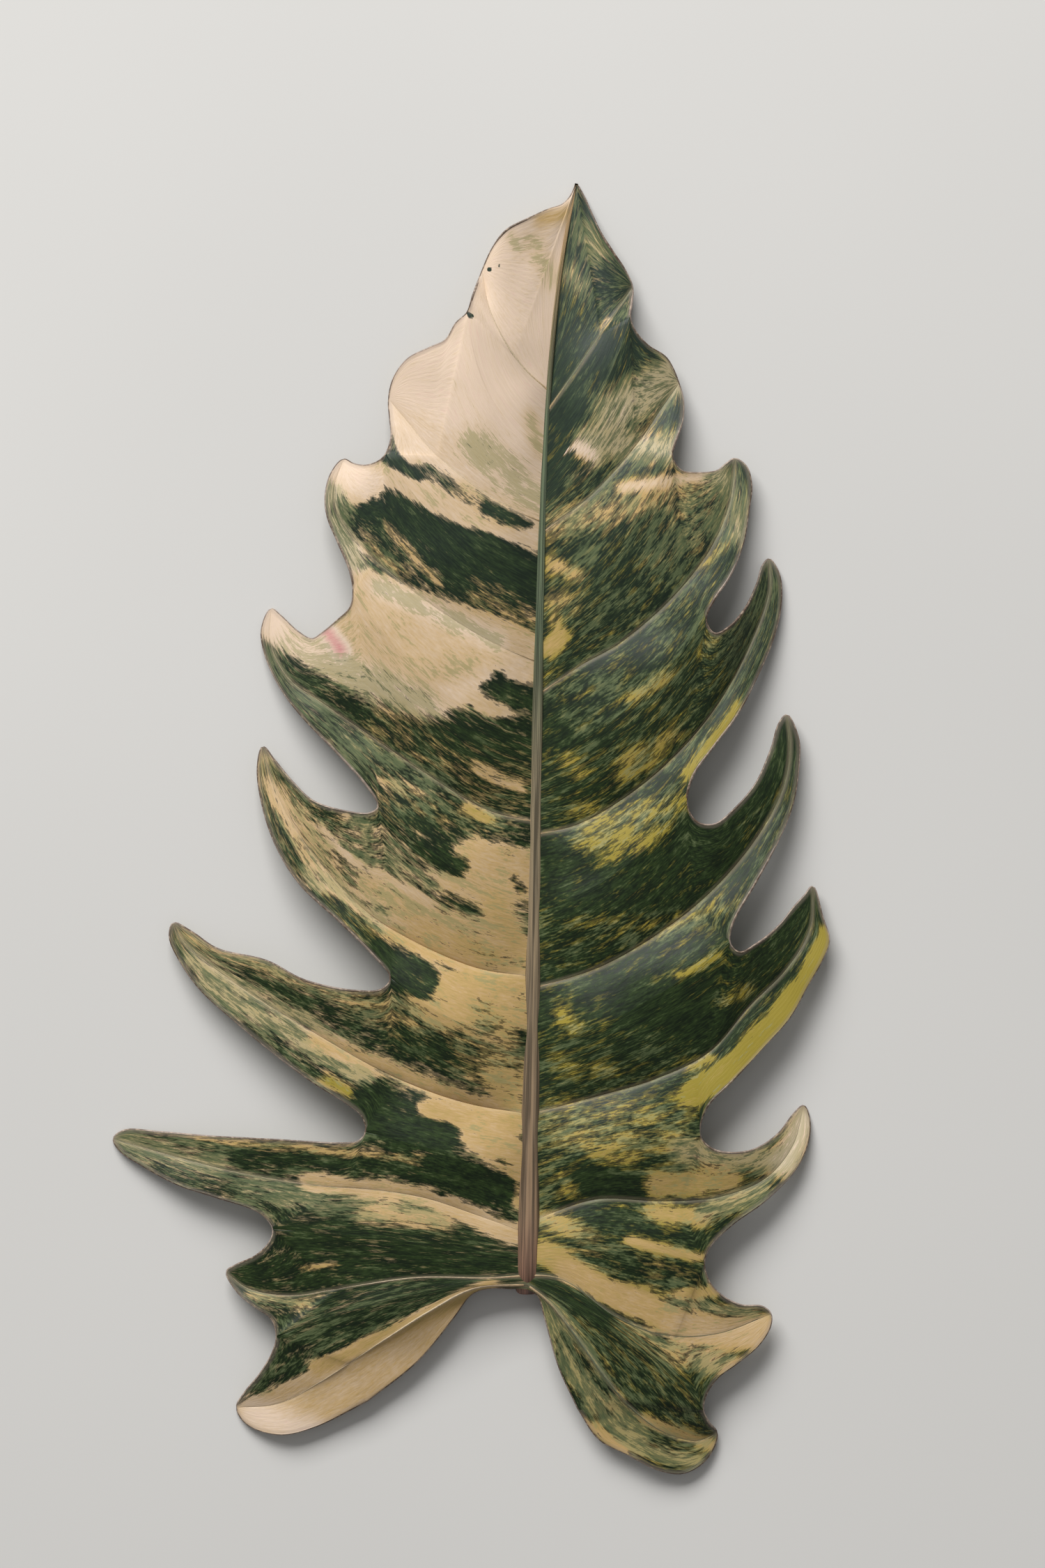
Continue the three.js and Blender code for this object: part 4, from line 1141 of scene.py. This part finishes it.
class LEAF_OT_side_veins(bpy.types.Operator):
    """Models the side veins: fine lines on the upper face, ridges below"""

    bl_idname = "leaf.side_veins"
    bl_label = "Side Veins"

    def execute(self, context):
        shape = context.scene.leaf_shape
        bm = bmesh.new()
        grain = bm.loops.layers.uv.new("Grain")
        along = np.linspace(0, VEIN_END, VEIN_STATIONS)
        ends = np.ones(VEIN_STATIONS)
        ends[0] = ends[-1] = 0
        for side, (start, lobes) in enumerate(((LEFT_START, LEFT_LOBES), (RIGHT_START, RIGHT_LOBES))):
            for panel in panels_of(start, lobes)[::2]:
                plan = panel.vein.at(along)
                low = np.maximum(panel.vein_height(along) + ripple_at(plan, shape.ripple / MM), 0)
                top = low + (shape.thickness + shape.vein_proud) / MM
                bottom = np.maximum(low - VEIN_RIDGE_DEPTH * (1 - along), VEIN_CLEARANCE)
                centres = np.column_stack([plan, (top + bottom) / 2])
                root, tip = shape.vein_half_width, shape.vein_tip_half_width
                width = tip + (root - tip) * (1 - along) ** VEIN_TAPER_POWER
                depth = (top - bottom) / 2
                for face in add_rod(bm, centres, width / MM * ends, depth * ends, VEIN_SIDES, grain):
                    face.material_index = side
        close_rods(bm)
        finish = context.scene.leaf_finish
        skins = [
            vein_material("pale_vein_skin", finish, finish.vein),
            vein_material("green_vein_skin", finish, finish.green_vein),
        ]
        finish_piece("side_veins", bm, skins)
        return {"FINISHED"}


class LEAF_OT_midrib(bpy.types.Operator):
    """Models the midrib with its keel and the stump of the stalk"""

    bl_idname = "leaf.midrib"
    bl_label = "Midrib"

    def execute(self, context):
        shape = context.scene.leaf_shape
        thickness = shape.thickness / MM
        share = np.linspace(1 / MIDRIB_RINGS, 1, MIDRIB_RINGS)
        y = BASE_Y + (APEX_Y - BASE_Y) * share
        top = rib_height(y) + thickness + tapered(MIDRIB_PROUD, share)
        bottom = rib_height(y) - tapered(KEEL_DEPTH, share)
        stalk = [(MIDRIB_BASE_X, STALK_CUT_Y, 0), (MIDRIB_BASE_X, STALK_CUT_Y, STALK_STRAIGHT),
                 (MIDRIB_BASE_X, STALK_KNEE_Y, STALK_KNEE_Z)]
        through = np.vstack([stalk, np.column_stack([midrib_plan(y), (top + bottom) / 2])])
        places = np.linspace(0, len(through) - 1, MIDRIB_STATIONS)
        centres = smooth_line(through, places)
        at = np.clip((places - len(stalk) + 1) / MIDRIB_RINGS, 0, 1)
        half_width = tapered(MIDRIB_HALF_WIDTH, at, MIDRIB_WIDTH_POWER)
        half_depth = (thickness + tapered(MIDRIB_PROUD, at) + tapered(KEEL_DEPTH, at)) / 2
        centres = np.vstack([centres[:1], centres, centres[-1:]])
        ends = np.concatenate([[0], np.ones(MIDRIB_STATIONS), [0]])
        bm = bmesh.new()
        grain = bm.loops.layers.uv.new("Grain")
        half_width = np.concatenate([half_width[:1], half_width, half_width[-1:]]) * ends
        half_depth = np.concatenate([half_depth[:1], half_depth, half_depth[-1:]]) * ends
        add_rod(bm, centres, half_width, half_depth, MIDRIB_SIDES, grain, MIDRIB_SQUARENESS)
        for v in bm.verts:
            v.co.z = max(v.co.z, 0)
        close_rods(bm)
        finish_piece("midrib", bm, [rib_material("midrib_skin", context.scene.leaf_finish)])
        return {"FINISHED"}


class LEAF_OT_margin(bpy.types.Operator):
    """Models the hard bead along the blade's margin"""

    bl_idname = "leaf.margin"
    bl_label = "Margin"

    def execute(self, context):
        shape = context.scene.leaf_shape
        bm = bmesh.new()
        grain = bm.loops.layers.uv.new("Grain")
        for start, lobes in ((LEFT_START, LEFT_LOBES), (RIGHT_START, RIGHT_LOBES)):
            panels = panels_of(start, lobes)
            run = [self.stretch(panels[0], np.linspace(RIM_FOOT_START, panels[0].foot, RIM_FOOT_STATIONS))]
            for panel in panels:
                along = panel.row_share(np.linspace(0, 1, BODY_ROWS + FINGER_ROWS + 1))
                along = along[along > panel.foot + WELD]
                run.append(self.stretch(panel, along if not panel.is_upper else along[::-1]))
            line = np.vstack(run)
            line[:, 2] += ripple_at(line[:, :2], shape.ripple / MM) + shape.thickness / MM / 2
            ends = np.ones(len(line))
            ends[0] = ends[-1] = 0
            radius = shape.rim_radius / MM * ends
            line[:, 2] = np.maximum(line[:, 2], shape.rim_radius / MM)
            add_rod(bm, line, radius, radius, RIM_SIDES, grain)
        close_rods(bm)
        finish_piece("margin", bm, [rim_material("margin_skin", context.scene.leaf_finish)])
        return {"FINISHED"}

    @staticmethod
    def stretch(panel, along):
        return np.column_stack([panel.edge_plan(along), panel.edge_height(along)])


class LEAF_OT_stage(bpy.types.Operator):
    """Sets the floor, the lights and the camera"""

    bl_idname = "leaf.stage"
    bl_label = "Stage"

    def execute(self, context):
        scene = context.scene
        stage = scene.leaf_stage
        self.floor(scene, stage)
        self.light(scene, "key", KEY_PLACE, KEY_SIZE, stage.key_power)
        world = bpy.data.worlds.new("studio")
        world.use_nodes = True
        background = world.node_tree.nodes["Background"]
        background.inputs["Color"].default_value = (1, 1, 1, 1)
        background.inputs["Strength"].default_value = stage.fill_strength
        scene.world = world
        scene.view_settings.view_transform = "Standard"
        data = bpy.data.cameras.new("camera")
        data.lens = stage.lens
        data.sensor_width = SENSOR_WIDTH
        camera = bpy.data.objects.new("camera", data)
        camera.location = VIEW_CENTRE
        camera.location.z += VIEW_HEIGHT * stage.lens / SENSOR_WIDTH
        scene.collection.objects.link(camera)
        scene.camera = camera
        return {"FINISHED"}

    @staticmethod
    def floor(scene, stage):
        bm = bmesh.new()
        bmesh.ops.create_grid(
            bm, x_segments=FLOOR_SQUARES, y_segments=FLOOR_SQUARES, size=stage.floor_size / 2
        )
        mesh = bpy.data.meshes.new("floor")
        bm.to_mesh(mesh)
        bm.free()
        n = Nodes("floor_paper")
        place = n.add("ShaderNodeTexCoord").outputs["Object"]
        cloud = n.add("ShaderNodeTexNoise", {"Vector": place, "Scale": 3.0}).outputs[0]
        dimmer = tuple(FLOOR_DIMMEST * value for value in stage.floor_colour)
        colour = n.mix(n.between(cloud, 0.3, 0.7), dimmer, tuple(stage.floor_colour))
        mesh.materials.append(n.finish(colour, FLOOR_ROUGHNESS))
        floor = bpy.data.objects.new("floor", mesh)
        scene.collection.objects.link(floor)

    @staticmethod
    def light(scene, name, place, size, power):
        data = bpy.data.lights.new(name, "AREA")
        data.shape = "RECTANGLE"
        data.size, data.size_y = size
        data.energy = power
        lamp = bpy.data.objects.new(name, data)
        lamp.location = place
        lamp.rotation_euler = (-Vector(place)).to_track_quat("-Z", "Y").to_euler()
        scene.collection.objects.link(lamp)


OPERATORS = (LEAF_OT_blade, LEAF_OT_side_veins, LEAF_OT_midrib, LEAF_OT_margin, LEAF_OT_stage)
GROUPS = {"leaf_shape": LeafShape, "leaf_finish": LeafFinish, "leaf_stage": LeafStage}


class LEAF_PT_panel(bpy.types.Panel):
    """Lists the steps that make the leaf"""

    bl_idname = "LEAF_PT_panel"
    bl_label = "Leaf"
    bl_space_type = "VIEW_3D"
    bl_region_type = "UI"
    bl_category = "Leaf"

    def draw(self, context):
        for operator in OPERATORS:
            self.layout.operator(operator.bl_idname)
        for name, group in GROUPS.items():
            box = self.layout.box()
            for key in group.__annotations__:
                box.prop(getattr(context.scene, name), key)


def register():
    for cls in (*GROUPS.values(), *OPERATORS, LEAF_PT_panel):
        bpy.utils.register_class(cls)
    for name, group in GROUPS.items():
        setattr(bpy.types.Scene, name, bpy.props.PointerProperty(type=group))


def unregister():
    for name in GROUPS:
        delattr(bpy.types.Scene, name)
    for cls in (LEAF_PT_panel, *reversed(OPERATORS), *reversed(GROUPS.values())):
        bpy.utils.unregister_class(cls)


def main():
    register()
    bpy.ops.leaf.blade()
    bpy.ops.leaf.side_veins()
    bpy.ops.leaf.midrib()
    bpy.ops.leaf.margin()
    bpy.ops.leaf.stage()


if __name__ == "__main__":
    main()
